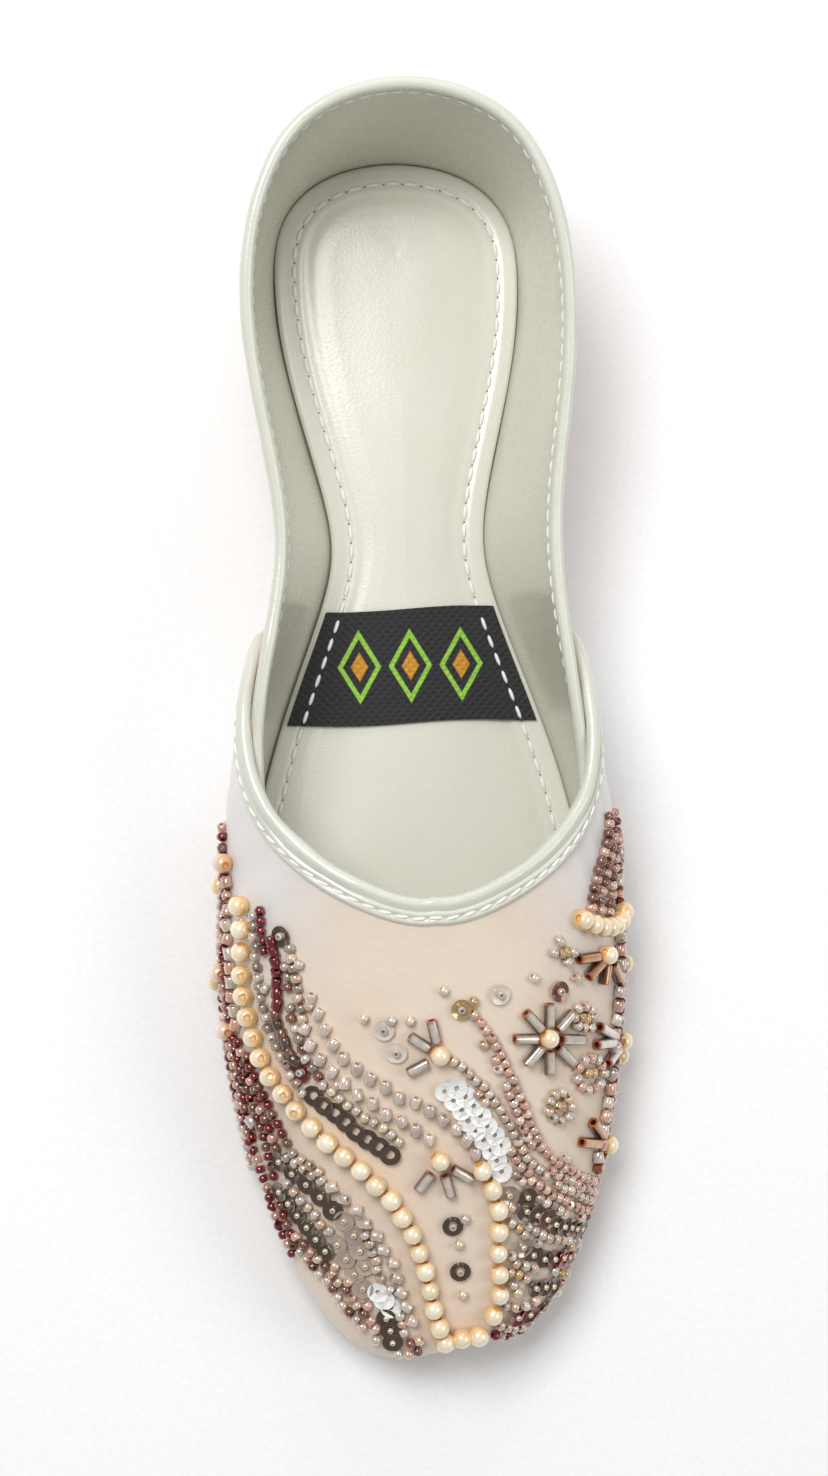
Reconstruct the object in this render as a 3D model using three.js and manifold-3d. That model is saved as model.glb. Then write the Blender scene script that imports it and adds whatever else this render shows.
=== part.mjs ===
// A left mojari: a flat slip-on shoe with a beaded vamp, bound edges and a leather sole.
// Millimetres. +Z up, toe towards -Y, heel towards +Y, the foot's inner side towards -X.
// One function, lastPoint, gives the last that the upper is drawn over; every piece follows it.
import * as THREE from 'three';
import { mergeVertices } from 'three/addons/utils/BufferGeometryUtils.js';
import Module from 'manifold-3d';

const wasm = await Module();
wasm.setup();

// Driving sizes
const SOLE_THICKNESS = 4;
const SEAT_GAP = 0.3;
const HEEL_RISE = 5;
const TOE_SPRING = 5;
const BALL = { back: -20, front: -62 };
const HEEL_FRONT = 72;
const TOE_TIP = -122;
const QUARTER_WALL = 1.8;
const SOLE_MARGIN = { heel: 2.2, waist: 3.6, fore: 3.2 };
const INSOLE_EDGE = 2.2;
const INSOLE_PAD = 0.9;
const INSOLE_CLEARANCE = 0.5;
const HEEL_LIFT_FRONT = 75;
const HEEL_LIFT_INSET = 0.8;
const PIECE_GAP = 0.3;
const LABEL = { back: 27.3, front: 4.1, thickness: 0.6, inset: 0.9 };

// The last in sections from heel to toe. Each row gives the foot of the wall on the inner and the
// outer side, the ridge line that the section leans to, how far the wall leans out at its middle,
// how far it bulges near the foot, the height of that bulge, and the height of the collar
// (quarters) or of the ridge (vamp).
const SECTIONS = [
  { at: 'heel',    inX: 0,    inY: 119.2,  outX: 0,    outY: 119.2,  ridgeY: 103,    leanIn: 5.4,  leanOut: 5.4,  flare: 3,   side: 15,   collar: 54 },
  { at: 'counter', inX: 15.8, inY: 115.8,  outX: 15.8, outY: 115.6,  ridgeY: 101,    leanIn: 4.8,  leanOut: 3.8,  flare: 3,   side: 15,   collar: 54 },
  { at: 'counter', inX: 24.2, inY: 106.2,  outX: 24.2, outY: 106,    ridgeY: 96,     leanIn: 2.4,  leanOut: 1,    flare: 3.4, side: 15,   collar: 53 },
  { at: 'counter', inX: 25,   inY: 94,     outX: 24.9, outY: 94,     ridgeY: 88,     leanIn: 5.3,  leanOut: 3.6,  flare: 4.6, side: 15,   collar: 51 },
  { at: 'quarter', inX: 23.8, inY: 80,     outX: 23.7, outY: 80,     ridgeY: 78,     leanIn: 7.3,  leanOut: 6,    flare: 6,   side: 15,   collar: 48 },
  { at: 'quarter', inX: 20.2, inY: 65,     outX: 20.2, outY: 65,     ridgeY: 65,     leanIn: 8.7,  leanOut: 8.4,  flare: 7.5, side: 15,   collar: 45 },
  { at: 'quarter', inX: 16.3, inY: 51,     outX: 16.6, outY: 51,     ridgeY: 51,     leanIn: 10,   leanOut: 10,   flare: 8.5, side: 15,   collar: 42.6 },
  { at: 'waist',   inX: 13.9, inY: 38,     outX: 14.9, outY: 38,     ridgeY: 38,     leanIn: 11.1, leanOut: 10.8, flare: 8.5, side: 15,   collar: 41 },
  { at: 'quarter', inX: 18.8, inY: 24,     outX: 19.2, outY: 24,     ridgeY: 24,     leanIn: 8.5,  leanOut: 7.1,  flare: 7.5, side: 15,   collar: 40.4 },
  { at: 'joint',   inX: 25.2, inY: 8,      outX: 25.3, outY: 8,      ridgeY: 8.5,    leanIn: 5.6,  leanOut: 2.8,  flare: 11,  side: 16,   collar: 40 },
  { at: 'vamp',    inX: 30.4, inY: -8,     outX: 30.6, outY: -8,     ridgeY: -6.5,   leanIn: 1.2,  leanOut: 0,    flare: 9.5, side: 17,   ridge: 52 },
  { at: 'vamp',    inX: 33.8, inY: -24,    outX: 33.9, outY: -24,    ridgeY: -20,    leanIn: -3.2, leanOut: -3.2, flare: 8.4, side: 17.5, ridge: 46.3 },
  { at: 'ball',    inX: 35.6, inY: -41,    outX: 35.5, outY: -41,    ridgeY: -34,    leanIn: -6.2, leanOut: -6.2, flare: 7.4, side: 18,   ridge: 42 },
  { at: 'vamp',    inX: 35.4, inY: -58,    outX: 35.2, outY: -58,    ridgeY: -48,    leanIn: -7.4, leanOut: -7.4, flare: 6,   side: 17,   ridge: 38.6 },
  { at: 'vamp',    inX: 33.5, inY: -74,    outX: 33.4, outY: -74,    ridgeY: -61.5,  leanIn: -7.6, leanOut: -7.6, flare: 4.4, side: 15.5, ridge: 35 },
  { at: 'vamp',    inX: 30.2, inY: -89,    outX: 30.2, outY: -89,    ridgeY: -74.5,  leanIn: -7.2, leanOut: -7.2, flare: 3.6, side: 13.5, ridge: 31.2 },
  { at: 'toe box', inX: 25.6, inY: -102.6, outX: 25.8, outY: -101.6, ridgeY: -86,    leanIn: -6.2, leanOut: -6.2, flare: 3,   side: 11.5, ridge: 27.4 },
  { at: 'toe box', inX: 18.8, inY: -114.4, outX: 20.6, outY: -111.6, ridgeY: -95,    leanIn: -5,   leanOut: -5,   flare: 2.6, side: 10,   ridge: 24.2 },
  { at: 'toe box', inX: 10.6, inY: -121.2, outX: 14,   outY: -117,   ridgeY: -100.5, leanIn: -4.2, leanOut: -4.2, flare: 2.4, side: 9.4,  ridge: 22.2 },
  { at: 'toe',     inX: -1.4, inY: -119.4, outX: 1.4,  outY: -119.4, ridgeY: -102,   leanIn: -4,   leanOut: -4,   flare: 2.4, side: 9.2,  ridge: 21.6 },
];
const TOE = SECTIONS.length - 1;
const RING = 2 * TOE;

// Where each layer of the upper ends: a station's foot section, its top section and how far up
// the section it rises, 1 being the ridge. The quarters run all round and line the vamp.
const QUARTER_EDGE = [
  { foot: 0,    top: 0,     rise: 0.468 },
  { foot: 0.7,  top: 0.7,   rise: 0.468 },
  { foot: 1.4,  top: 1.4,   rise: 0.468 },
  { foot: 2.1,  top: 2.1,   rise: 0.468 },
  { foot: 3,    top: 3,     rise: 0.468 },
  { foot: 4,    top: 4,     rise: 0.468 },
  { foot: 5.2,  top: 5.2,   rise: 0.468 },
  { foot: 6.6,  top: 6.6,   rise: 0.468 },
  { foot: 8.2,  top: 8.2,   rise: 0.468 },
  { foot: 9.6,  top: 9.5,   rise: 0.47 },
  { foot: 10.6, top: 10.3,  rise: 0.5 },
  { foot: 11.4, top: 10.95, rise: 0.62 },
  { foot: 12.1, top: 11.5,  rise: 0.77 },
  { foot: 12.6, top: 11.82, rise: 0.9 },
  { foot: 13,   top: 11.95, rise: 1 },
];
const VAMP_EDGE = [
  { foot: 7.9,  top: 8.2,   rise: 0.24 },
  { foot: 8.1,  top: 8.34,  rise: 0.32 },
  { foot: 8.4,  top: 8.6,   rise: 0.378 },
  { foot: 8.9,  top: 9,     rise: 0.418 },
  { foot: 9.5,  top: 9.5,   rise: 0.465 },
  { foot: 10.2, top: 10.05, rise: 0.53 },
  { foot: 10.8, top: 10.55, rise: 0.605 },
  { foot: 11.4, top: 11.05, rise: 0.71 },
  { foot: 11.9, top: 11.45, rise: 0.82 },
  { foot: 12.4, top: 11.74, rise: 0.92 },
  { foot: 12.8, top: 11.85, rise: 1 },
];
const VAMP_FOOT_RISE = 0.012;

const COLOURS = {
  sole: 0xb98f68,
  lift: 0x8a6446,
  insole: 0xdedcd0,
  upper: 0xe6d8cc,
  binding: 0xd6dbcf,
  label: 0x1c1b1d,
};

function lerp(a, b, f) {
  return a + (b - a) * f;
}

function smooth(x, start, end) {
  const f = Math.min(Math.max((x - start) / (end - start), 0), 1);
  return f * f * (3 - 2 * f);
}

// Height of the outsole's underside: flat under the ball, raised at the heel, sprung at the toe.
function soleUnder(y) {
  const fore = Math.max((BALL.front - y) / (BALL.front - TOE_TIP), 0);
  return HEEL_RISE * smooth(y, BALL.back, HEEL_FRONT) + TOE_SPRING * fore ** 1.8;
}

function soleTop(y) {
  return soleUnder(y) + SOLE_THICKNESS;
}

function seatHeight(y) {
  return soleTop(y) + SEAT_GAP;
}

// The section rows as one ring: out along the outer side to the toe, back along the inner side.
function ringRows() {
  const rows = [];
  for (let k = 0; k < RING; k += 1) {
    const outer = k <= TOE;
    const s = SECTIONS[outer ? k : RING - k];
    const y = outer ? s.outY : s.inY;
    const middle = s.collar === undefined ? s.ridge
      : (8 * s.collar - 4 * seatHeight(y) - 3 * s.side) / 4;
    rows.push({
      x: outer ? s.outX : -s.inX,
      y,
      ridgeY: s.ridgeY,
      lean: outer ? s.leanOut : s.leanIn,
      flare: s.flare,
      side: s.side,
      ridge: middle,
    });
  }
  return rows;
}
const ROWS = ringRows();

// A uniform cubic B-spline through the ring of rows, read at section u.
function sectionAt(u) {
  const turn = ((u % RING) + RING) % RING;
  const k = Math.floor(turn);
  const f = turn - k;
  const weights = [
    (1 - f) ** 3 / 6,
    (3 * f ** 3 - 6 * f ** 2 + 4) / 6,
    (-3 * f ** 3 + 3 * f ** 2 + 3 * f + 1) / 6,
    f ** 3 / 6,
  ];
  const out = { x: 0, y: 0, ridgeY: 0, lean: 0, flare: 0, side: 0, ridge: 0 };
  weights.forEach((w, j) => {
    const row = ROWS[(k + j - 1 + RING) % RING];
    for (const name of Object.keys(out)) out[name] += w * row[name];
  });
  return out;
}

// Sections counted from the heel on either side
function fromHeel(u) {
  const turn = ((u % RING) + RING) % RING;
  return Math.min(turn, RING - turn);
}

// Slope of the ridge line along the foot at section u
function ridgeSlope(u) {
  const step = 0.01;
  const v = Math.min(Math.max(fromHeel(u), 0.5), TOE - 0.5);
  const a = sectionAt(v - step);
  const b = sectionAt(v + step);
  return (b.ridge - a.ridge) / (b.ridgeY - a.ridgeY);
}

// The last: section u, risen by t from the foot of the wall (0) to the ridge (1).
// A cubic Bezier from the foot, past the side bulge and the shoulder, to the ridge.
function lastPoint(u, t) {
  if (t > 1) return lastPoint(RING - u, 2 - t);
  const s = sectionAt(u);
  const reach = Math.hypot(s.x, s.y - s.ridgeY);
  const outX = s.x / reach;
  const outY = (s.y - s.ridgeY) / reach;
  const side = reach + s.flare;
  const shoulder = (8 * (reach + s.lean) - reach - 3 * side) / 3;
  const vamp = smooth(fromHeel(u), 8.5, 11);
  const drop = Math.max(ridgeSlope(u), 0) * outY * shoulder * vamp;
  const seat = seatHeight(s.y);
  const w = [(1 - t) ** 3, 3 * (1 - t) ** 2 * t, 3 * (1 - t) * t ** 2, t ** 3];
  const r = w[0] * reach + w[1] * side + w[2] * shoulder;
  const z = w[0] * seat + w[1] * (seat + s.side) + w[2] * (s.ridge + drop) + w[3] * s.ridge;
  return new THREE.Vector3(outX * r, s.ridgeY + outY * r, z);
}

// Outward normal of the last. On the ridge both sides share the ridge line's own normal.
function lastNormal(u, t) {
  const step = 1e-3;
  if (t >= 1 - step) return new THREE.Vector3(0, -ridgeSlope(u), 1).normalize();
  const low = Math.max(t - step, 0);
  const rising = lastPoint(u, low + 2 * step).sub(lastPoint(u, low));
  const along = lastPoint(u + step, t).sub(lastPoint(u - step, t));
  return rising.cross(along).normalize();
}

// A point off the last. At the foot the wall is thickened level with the sole.
function offLast(u, t, offset) {
  const normal = lastNormal(u, t);
  normal.z *= smooth(t, 0, 0.12);
  return lastPoint(u, t).addScaledVector(normal.normalize(), offset);
}

// Catmull-Rom through an edge table, mirrored at its last row, where it crosses the ridge
function edgeStation(table, f) {
  const last = table.length - 1;
  const x = f * last;
  const k = Math.min(Math.floor(x), last - 1);
  const g = x - k;
  const rows = [k - 1, k, k + 1, k + 2].map((j) => {
    if (j < 0) return mirrored(table[0], table[1], false);
    return j > last ? mirrored(table[last], table[last - 1], true) : table[j];
  });
  const out = {};
  for (const name of ['foot', 'top', 'rise']) {
    const [a, b, c, d] = rows.map((row) => row[name]);
    out[name] = b + 0.5 * g * (c - a + g * (2 * a - 5 * b + 4 * c - d + g * (3 * (b - c) + d - a)));
  }
  out.rise = Math.min(out.rise, 1);
  return out;
}

function mirrored(end, neighbour, overRidge) {
  return {
    foot: 2 * end.foot - neighbour.foot,
    top: overRidge ? neighbour.top : 2 * end.top - neighbour.top,
    rise: overRidge ? 2 - neighbour.rise : neighbour.rise,
  };
}

// A layer's station for one column of its half: along its edge, then along the ridge to the toe
function station(layer, column) {
  if (column <= layer.edgeColumns) return edgeStation(layer.edge, column / layer.edgeColumns);
  const start = layer.edge[layer.edge.length - 1];
  const f = (column - layer.edgeColumns) / (layer.halfColumns - layer.edgeColumns);
  return { foot: lerp(start.foot, TOE, f), top: lerp(start.top, TOE, f), rise: 1 };
}

// Mesh of a closed body from a list of points and triangles, turned so that its faces point out
function bodyFrom(points, triangles) {
  const geometry = new THREE.BufferGeometry();
  geometry.setAttribute('position', new THREE.Float32BufferAttribute(points.flat(), 3));
  let volume = 0;
  for (const [a, b, c] of triangles) {
    const [p, q, r] = [points[a], points[b], points[c]];
    volume += p[0] * (q[1] * r[2] - q[2] * r[1])
      + p[1] * (q[2] * r[0] - q[0] * r[2])
      + p[2] * (q[0] * r[1] - q[1] * r[0]);
  }
  const turned = volume < 0 ? triangles.map(([a, b, c]) => [a, c, b]) : triangles;
  geometry.setIndex(turned.flat());
  return geometry;
}

// One layer of the upper: a wall between two offsets from the last, from the outer side's heel
// or seam to the toe and back, zipped along the ridge where it rises that far.
function layerGeometry(layer) {
  const last = 2 * layer.halfColumns;
  const points = [];
  const ids = new Map();
  const triangles = [];

  function vertex(side, column, row) {
    let c = layer.ring && column === last ? 0 : column;
    const half = Math.min(c, last - c);
    const s = station(layer, half);
    if (row === layer.rows && s.rise >= 1 && c > layer.halfColumns) c = last - c;
    const key = `${side} ${c} ${row}`;
    if (!ids.has(key)) {
      const f = row / layer.rows;
      const section = lerp(s.foot, s.top, f);
      const u = c <= layer.halfColumns ? section : RING - section;
      const t = lerp(layer.footRise, s.rise, f);
      const offset = side === 'inside' ? layer.inside(section) : layer.outside(section);
      const p = offLast(u, t, offset);
      if (row === 0) p.z = seatHeight(p.y) + layer.footLift;
      ids.set(key, points.length);
      points.push(p.toArray());
    }
    return ids.get(key);
  }

  function quad(a, b, c, d) {
    for (const tri of [[a, b, c], [a, c, d]]) {
      if (new Set(tri).size === 3) triangles.push(tri);
    }
  }

  for (let c = 0; c < last; c += 1) {
    for (let row = 0; row < layer.rows; row += 1) {
      quad(vertex('outside', c, row), vertex('outside', c + 1, row),
        vertex('outside', c + 1, row + 1), vertex('outside', c, row + 1));
      quad(vertex('inside', c, row), vertex('inside', c, row + 1),
        vertex('inside', c + 1, row + 1), vertex('inside', c + 1, row));
    }
    quad(vertex('inside', c, 0), vertex('inside', c + 1, 0),
      vertex('outside', c + 1, 0), vertex('outside', c, 0));
    const half = Math.min(c, last - c - 1);
    if (half < layer.edgeColumns) {
      quad(vertex('outside', c, layer.rows), vertex('outside', c + 1, layer.rows),
        vertex('inside', c + 1, layer.rows), vertex('inside', c, layer.rows));
    }
  }
  if (!layer.ring) {
    for (let row = 0; row < layer.rows; row += 1) {
      quad(vertex('inside', 0, row), vertex('outside', 0, row),
        vertex('outside', 0, row + 1), vertex('inside', 0, row + 1));
      quad(vertex('inside', last, row), vertex('inside', last, row + 1),
        vertex('outside', last, row + 1), vertex('outside', last, row));
    }
  }
  return bodyFrom(points, triangles);
}

function toSolid(geometry) {
  const bare = geometry.clone();
  bare.deleteAttribute('normal');
  bare.deleteAttribute('uv');
  const merged = mergeVertices(bare, 1e-4);
  return new wasm.Manifold(new wasm.Mesh({
    numProp: 3,
    vertProperties: new Float32Array(merged.attributes.position.array),
    triVerts: new Uint32Array(merged.index.array),
  }));
}

function fromSolid(solid) {
  const mesh = solid.getMesh();
  const geometry = new THREE.BufferGeometry();
  geometry.setAttribute('position', new THREE.BufferAttribute(new Float32Array(mesh.vertProperties), 3));
  geometry.setIndex(new THREE.BufferAttribute(new Uint32Array(mesh.triVerts), 1));
  return geometry;
}

const QUARTERS = {
  edge: QUARTER_EDGE,
  edgeColumns: 42,
  halfColumns: 54,
  rows: 7,
  ring: true,
  footRise: 0,
  footLift: 0,
  inside: () => 0,
  outside: () => QUARTER_WALL,
};

// The vamp lies over the quarters. Its rear ends stand clear of them, so that the bound collar
// passes inside, and further on the two layers are one wall.
const VAMP = {
  edge: VAMP_EDGE,
  edgeColumns: 20,
  halfColumns: 34,
  rows: 8,
  ring: false,
  footRise: VAMP_FOOT_RISE,
  footLift: 0.6,
  inside: (section) => 2.1 - 1.2 * smooth(section, 10.2, 10.7),
  outside: (section) => 3.7 - 0.9 * smooth(section, 10, 11.4),
};

// Where the two layers join, their facets can shut in a sliver of air. The skin round the whole
// wall is kept without such slivers.
function upper() {
  const joined = toSolid(layerGeometry(QUARTERS)).add(toSolid(layerGeometry(VAMP)));
  const skins = joined.decompose().sort((a, b) => b.volume() - a.volume());
  return fromSolid(skins[0]);
}

// Plan of a flat piece that follows the foot of the wall, moved out by margin
function outlinePoint(u, margin) {
  const step = 1e-3;
  const a = sectionAt(u - step);
  const b = sectionAt(u + step);
  const here = sectionAt(u);
  const length = Math.hypot(b.x - a.x, b.y - a.y);
  return {
    x: here.x - margin * (b.y - a.y) / length,
    y: here.y + margin * (b.x - a.x) / length,
  };
}

// The middle line that a flat piece's rings close on, shorter than the piece at both ends
const MIDDLE = { back: 94, front: -98, squeeze: 0.2 };
function middleY(y) {
  if (y > MIDDLE.back) return lerp(MIDDLE.back, y, MIDDLE.squeeze);
  if (y < MIDDLE.front) return lerp(MIDDLE.front, y, MIDDLE.squeeze);
  return y;
}

// The outsole's edge stands out from the foot of the wall, most at the waist
function soleMargin(u) {
  const v = fromHeel(u);
  const waist = lerp(SOLE_MARGIN.heel, SOLE_MARGIN.waist, smooth(v, 4, 7));
  return lerp(waist, SOLE_MARGIN.fore, smooth(v, 7.5, 9.5));
}

// A flat piece in rings: from the middle line underneath, out round the edge and back on top.
// Each ring is set in from the outline by its inset; the first and last lie on the middle line.
function ringedSlab(columns, marginAt, rings) {
  const points = [];
  const triangles = [];
  const ids = new Map();
  const lastRing = rings.length - 1;

  function vertex(column, ring) {
    let c = column % columns;
    const onMiddle = ring === 0 || ring === lastRing;
    if (onMiddle && c > columns / 2) c = columns - c;
    const key = `${c} ${ring}`;
    if (!ids.has(key)) {
      const u = c * RING / columns;
      const edge = outlinePoint(u, marginAt(u));
      const middle = { x: 0, y: middleY(edge.y) };
      const width = Math.hypot(edge.x, edge.y - middle.y);
      const f = onMiddle ? 1 : Math.min(rings[ring].inset / width, 0.95);
      const x = onMiddle ? 0 : lerp(edge.x, middle.x, f);
      const y = lerp(edge.y, middle.y, f);
      ids.set(key, points.length);
      points.push([x, y, rings[ring].height(y)]);
    }
    return ids.get(key);
  }

  for (let c = 0; c < columns; c += 1) {
    for (let ring = 0; ring < lastRing; ring += 1) {
      const corners = [vertex(c, ring), vertex(c + 1, ring), vertex(c + 1, ring + 1), vertex(c, ring + 1)];
      for (const tri of [[0, 1, 2], [0, 2, 3]]) {
        const ends = tri.map((k) => corners[k]);
        if (new Set(ends).size === 3) triangles.push(ends);
      }
    }
  }
  return bodyFrom(points, triangles);
}

function outsole() {
  return ringedSlab(84, soleMargin, [
    { inset: 0, height: soleUnder },
    { inset: 9, height: soleUnder },
    { inset: 0.8, height: soleUnder },
    { inset: 0, height: (y) => soleUnder(y) + 0.8 },
    { inset: 0, height: (y) => soleTop(y) - 0.5 },
    { inset: 0.5, height: soleTop },
    { inset: 9, height: soleTop },
    { inset: 0, height: soleTop },
  ]);
}

// The padded sock: a sewn edge band, a soft step and a raised middle
function insole() {
  const under = seatHeight;
  const band = (y) => under(y) + INSOLE_EDGE;
  const pad = (y) => band(y) + INSOLE_PAD;
  return ringedSlab(84, () => -INSOLE_CLEARANCE, [
    { inset: 0, height: under },
    { inset: 9, height: under },
    { inset: 0, height: under },
    { inset: 0, height: (y) => band(y) - 0.5 },
    { inset: 0.6, height: band },
    { inset: 6.2, height: band },
    { inset: 8, height: pad },
    { inset: 0, height: pad },
  ]);
}

// The collar's edge as places on the last, from one throat corner round the heel to the other
const COLLAR_ROLL = { end: 9.8, stations: 84, radius: 1.2, middle: 0.6 };
function collarPath() {
  const path = [];
  for (let k = 0; k <= COLLAR_ROLL.stations; k += 1) {
    const u = lerp(-COLLAR_ROLL.end, COLLAR_ROLL.end, k / COLLAR_ROLL.stations);
    path.push({ u, t: QUARTER_EDGE[0].rise + 0.004 * smooth(fromHeel(u), 9, 10) });
  }
  return path;
}

// The vamp's edge as places on the last: up its outer rear end, over the throat and down again
function vampPath() {
  const half = [];
  const start = VAMP_EDGE[0];
  for (let row = 1; row < VAMP.rows; row += 1) {
    const f = row / VAMP.rows;
    half.push({ u: lerp(start.foot, start.top, f), t: lerp(VAMP.footRise, start.rise, f) });
  }
  for (let column = 0; column <= VAMP.edgeColumns; column += 1) {
    const s = station(VAMP, column);
    half.push({ u: s.top, t: s.rise });
  }
  const back = half.slice(0, -1).reverse().map(({ u, t }) => ({ u: RING - u, t }));
  return half.concat(back);
}

// Sweeps a closed profile along a path on the last. The profile gives, for a station's section,
// points as [distance ahead of the edge, distance off the last].
function sweepOnLast(path, profileAt) {
  const points = [];
  const triangles = [];
  const step = 1e-3;
  let size = 0;
  path.forEach(({ u, t }, k) => {
    const before = path[Math.max(k - 1, 0)];
    const after = path[Math.min(k + 1, path.length - 1)];
    const along = lastPoint(after.u, after.t).sub(lastPoint(before.u, before.t));
    const ahead = along.cross(lastNormal(u, t)).normalize();
    const top = t >= 1 - step;
    const byU = lastPoint(u + step, t).sub(lastPoint(u - step, t)).divideScalar(2 * step);
    const byT = lastPoint(u, t).sub(lastPoint(u, t - step)).divideScalar(step);
    const [uu, ut, tt] = [byU.dot(byU), byU.dot(byT), byT.dot(byT)];
    const [au, at] = [ahead.dot(byU), ahead.dot(byT)];
    const det = uu * tt - ut * ut;
    const move = top ? [au / uu, 0] : [(tt * au - ut * at) / det, (uu * at - ut * au) / det];
    const profile = profileAt(u);
    size = profile.length;
    for (const [r, n] of profile) {
      points.push(offLast(u + r * move[0], t + r * move[1], n).toArray());
    }
  });
  const lastStart = (path.length - 1) * size;
  for (let j = 0; j < size; j += 1) {
    const next = (j + 1) % size;
    for (let k = 0; k < path.length - 1; k += 1) {
      const [a, b] = [k * size + j, k * size + next];
      triangles.push([a, b, b + size], [a, b + size, a + size]);
    }
  }
  const flat = profileAt(path[0].u).map(([r, n]) => new THREE.Vector2(r, n));
  for (const [a, b, c] of THREE.ShapeUtils.triangulateShape(flat, [])) {
    triangles.push([a, c, b], [lastStart + a, lastStart + b, lastStart + c]);
  }
  return bodyFrom(points, triangles);
}

// A rolled binding that sits on the collar's edge
function collarBinding() {
  const sides = 10;
  const { radius, middle } = COLLAR_ROLL;
  return sweepOnLast(collarPath(), () => {
    const profile = [];
    for (let k = 0; k < sides; k += 1) {
      const angle = 2 * Math.PI * (k + 0.5) / sides;
      profile.push([PIECE_GAP + radius + radius * Math.cos(angle), middle + radius * Math.sin(angle)]);
    }
    return profile;
  });
}

// A binding folded over the vamp's edge, with a flange stitched down outside
function vampBinding() {
  return sweepOnLast(vampPath(), (u) => {
    const section = fromHeel(u);
    const inside = VAMP.inside(section);
    const outside = VAMP.outside(section);
    return [
      [PIECE_GAP, inside],
      [1.6, inside],
      [2.2, inside + 0.6],
      [2.2, outside + 0.4],
      [1.4, outside + 1.2],
      [-2.8, outside + 1.1],
      [-3.1, outside + 0.7],
      [-3.1, outside + PIECE_GAP],
      [PIECE_GAP, outside + PIECE_GAP],
    ];
  });
}

// Half the insole's width at y, from its own outline
function insoleHalf(y, side) {
  let low = 0.5;
  let high = TOE - 3;
  for (let k = 0; k < 40; k += 1) {
    const middle = (low + high) / 2;
    const p = outlinePoint(side > 0 ? middle : -middle, -INSOLE_CLEARANCE);
    if (p.y > y) low = middle;
    else high = middle;
  }
  return Math.abs(outlinePoint(side > 0 ? low : -low, -INSOLE_CLEARANCE).x);
}

// A thin woven label across the insole, from edge to edge, dropping over the padded step
function label() {
  const points = [];
  const triangles = [];
  const rows = 6;
  for (let k = 0; k <= rows; k += 1) {
    const y = lerp(LABEL.back, LABEL.front, k / rows);
    const band = seatHeight(y) + INSOLE_EDGE + PIECE_GAP;
    const pad = band + INSOLE_PAD;
    const [inner, outer] = [-insoleHalf(y, -1), insoleHalf(y, 1)];
    const across = [
      [inner + LABEL.inset, band], [inner + 4.6, band], [inner + 7.2, pad], [0, pad],
      [outer - 7.2, pad], [outer - 4.6, band], [outer - LABEL.inset, band],
    ];
    for (const [x, z] of across) points.push([x, y, z]);
    for (const [x, z] of across.reverse()) points.push([x, y, z + LABEL.thickness]);
  }
  const size = 14;
  for (let k = 0; k < rows; k += 1) {
    for (let j = 0; j < size; j += 1) {
      const [a, b] = [k * size + j, k * size + (j + 1) % size];
      triangles.push([a, b, b + size], [a, b + size, a + size]);
    }
  }
  for (let j = 0; j < 6; j += 1) {
    const [a, b, c, d] = [j, j + 1, size - 2 - j, size - 1 - j];
    triangles.push([a, c, b], [a, d, c]);
    const end = rows * size;
    triangles.push([end + a, end + b, end + c], [end + a, end + c, end + d]);
  }
  return bodyFrom(points, triangles);
}

// A thin stack of leather under the heel seat, with a straight front
function heelLift() {
  const shape = new THREE.Shape();
  const steps = 64;
  const outline = [];
  for (let k = 0; k < steps; k += 1) {
    const u = lerp(-6, 6, k / (steps - 1));
    const p = outlinePoint(u, soleMargin(u) - HEEL_LIFT_INSET);
    if (p.y >= HEEL_LIFT_FRONT) outline.push(p);
  }
  outline.forEach((p, k) => (k === 0 ? shape.moveTo(p.x, p.y) : shape.lineTo(p.x, p.y)));
  shape.closePath();
  return new THREE.ExtrudeGeometry(shape, { depth: HEEL_RISE - SEAT_GAP, bevelEnabled: false });
}

const mojari = new THREE.Group();

function addPiece(name, geometry, color, roughness) {
  const material = new THREE.MeshStandardMaterial({ color, roughness, metalness: 0 });
  const mesh = new THREE.Mesh(geometry, material);
  mesh.name = name;
  mojari.add(mesh);
}

addPiece('outsole', outsole(), COLOURS.sole, 0.6);
addPiece('heel_lift', heelLift(), COLOURS.lift, 0.6);
addPiece('insole', insole(), COLOURS.insole, 0.45);
addPiece('upper', upper(), COLOURS.upper, 0.5);
addPiece('collar_binding', collarBinding(), COLOURS.binding, 0.35);
addPiece('vamp_binding', vampBinding(), COLOURS.binding, 0.35);
addPiece('footbed_label', label(), COLOURS.label, 0.8);

export default mojari;
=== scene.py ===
"""A left mojari: a flat slip-on shoe with a beaded satin vamp, bound edges and a padded footbed.

The last that the upper is drawn over is one function of two parameters, and every piece of the
shoe is laid on it. Sizes are in millimetres here and become metres when a mesh is made.
"""
import logging
import math
from dataclasses import dataclass, field
from enum import Enum
from typing import Callable, NamedTuple

import bmesh
import bpy
import numpy as np
from mathutils import Matrix, Vector


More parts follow.
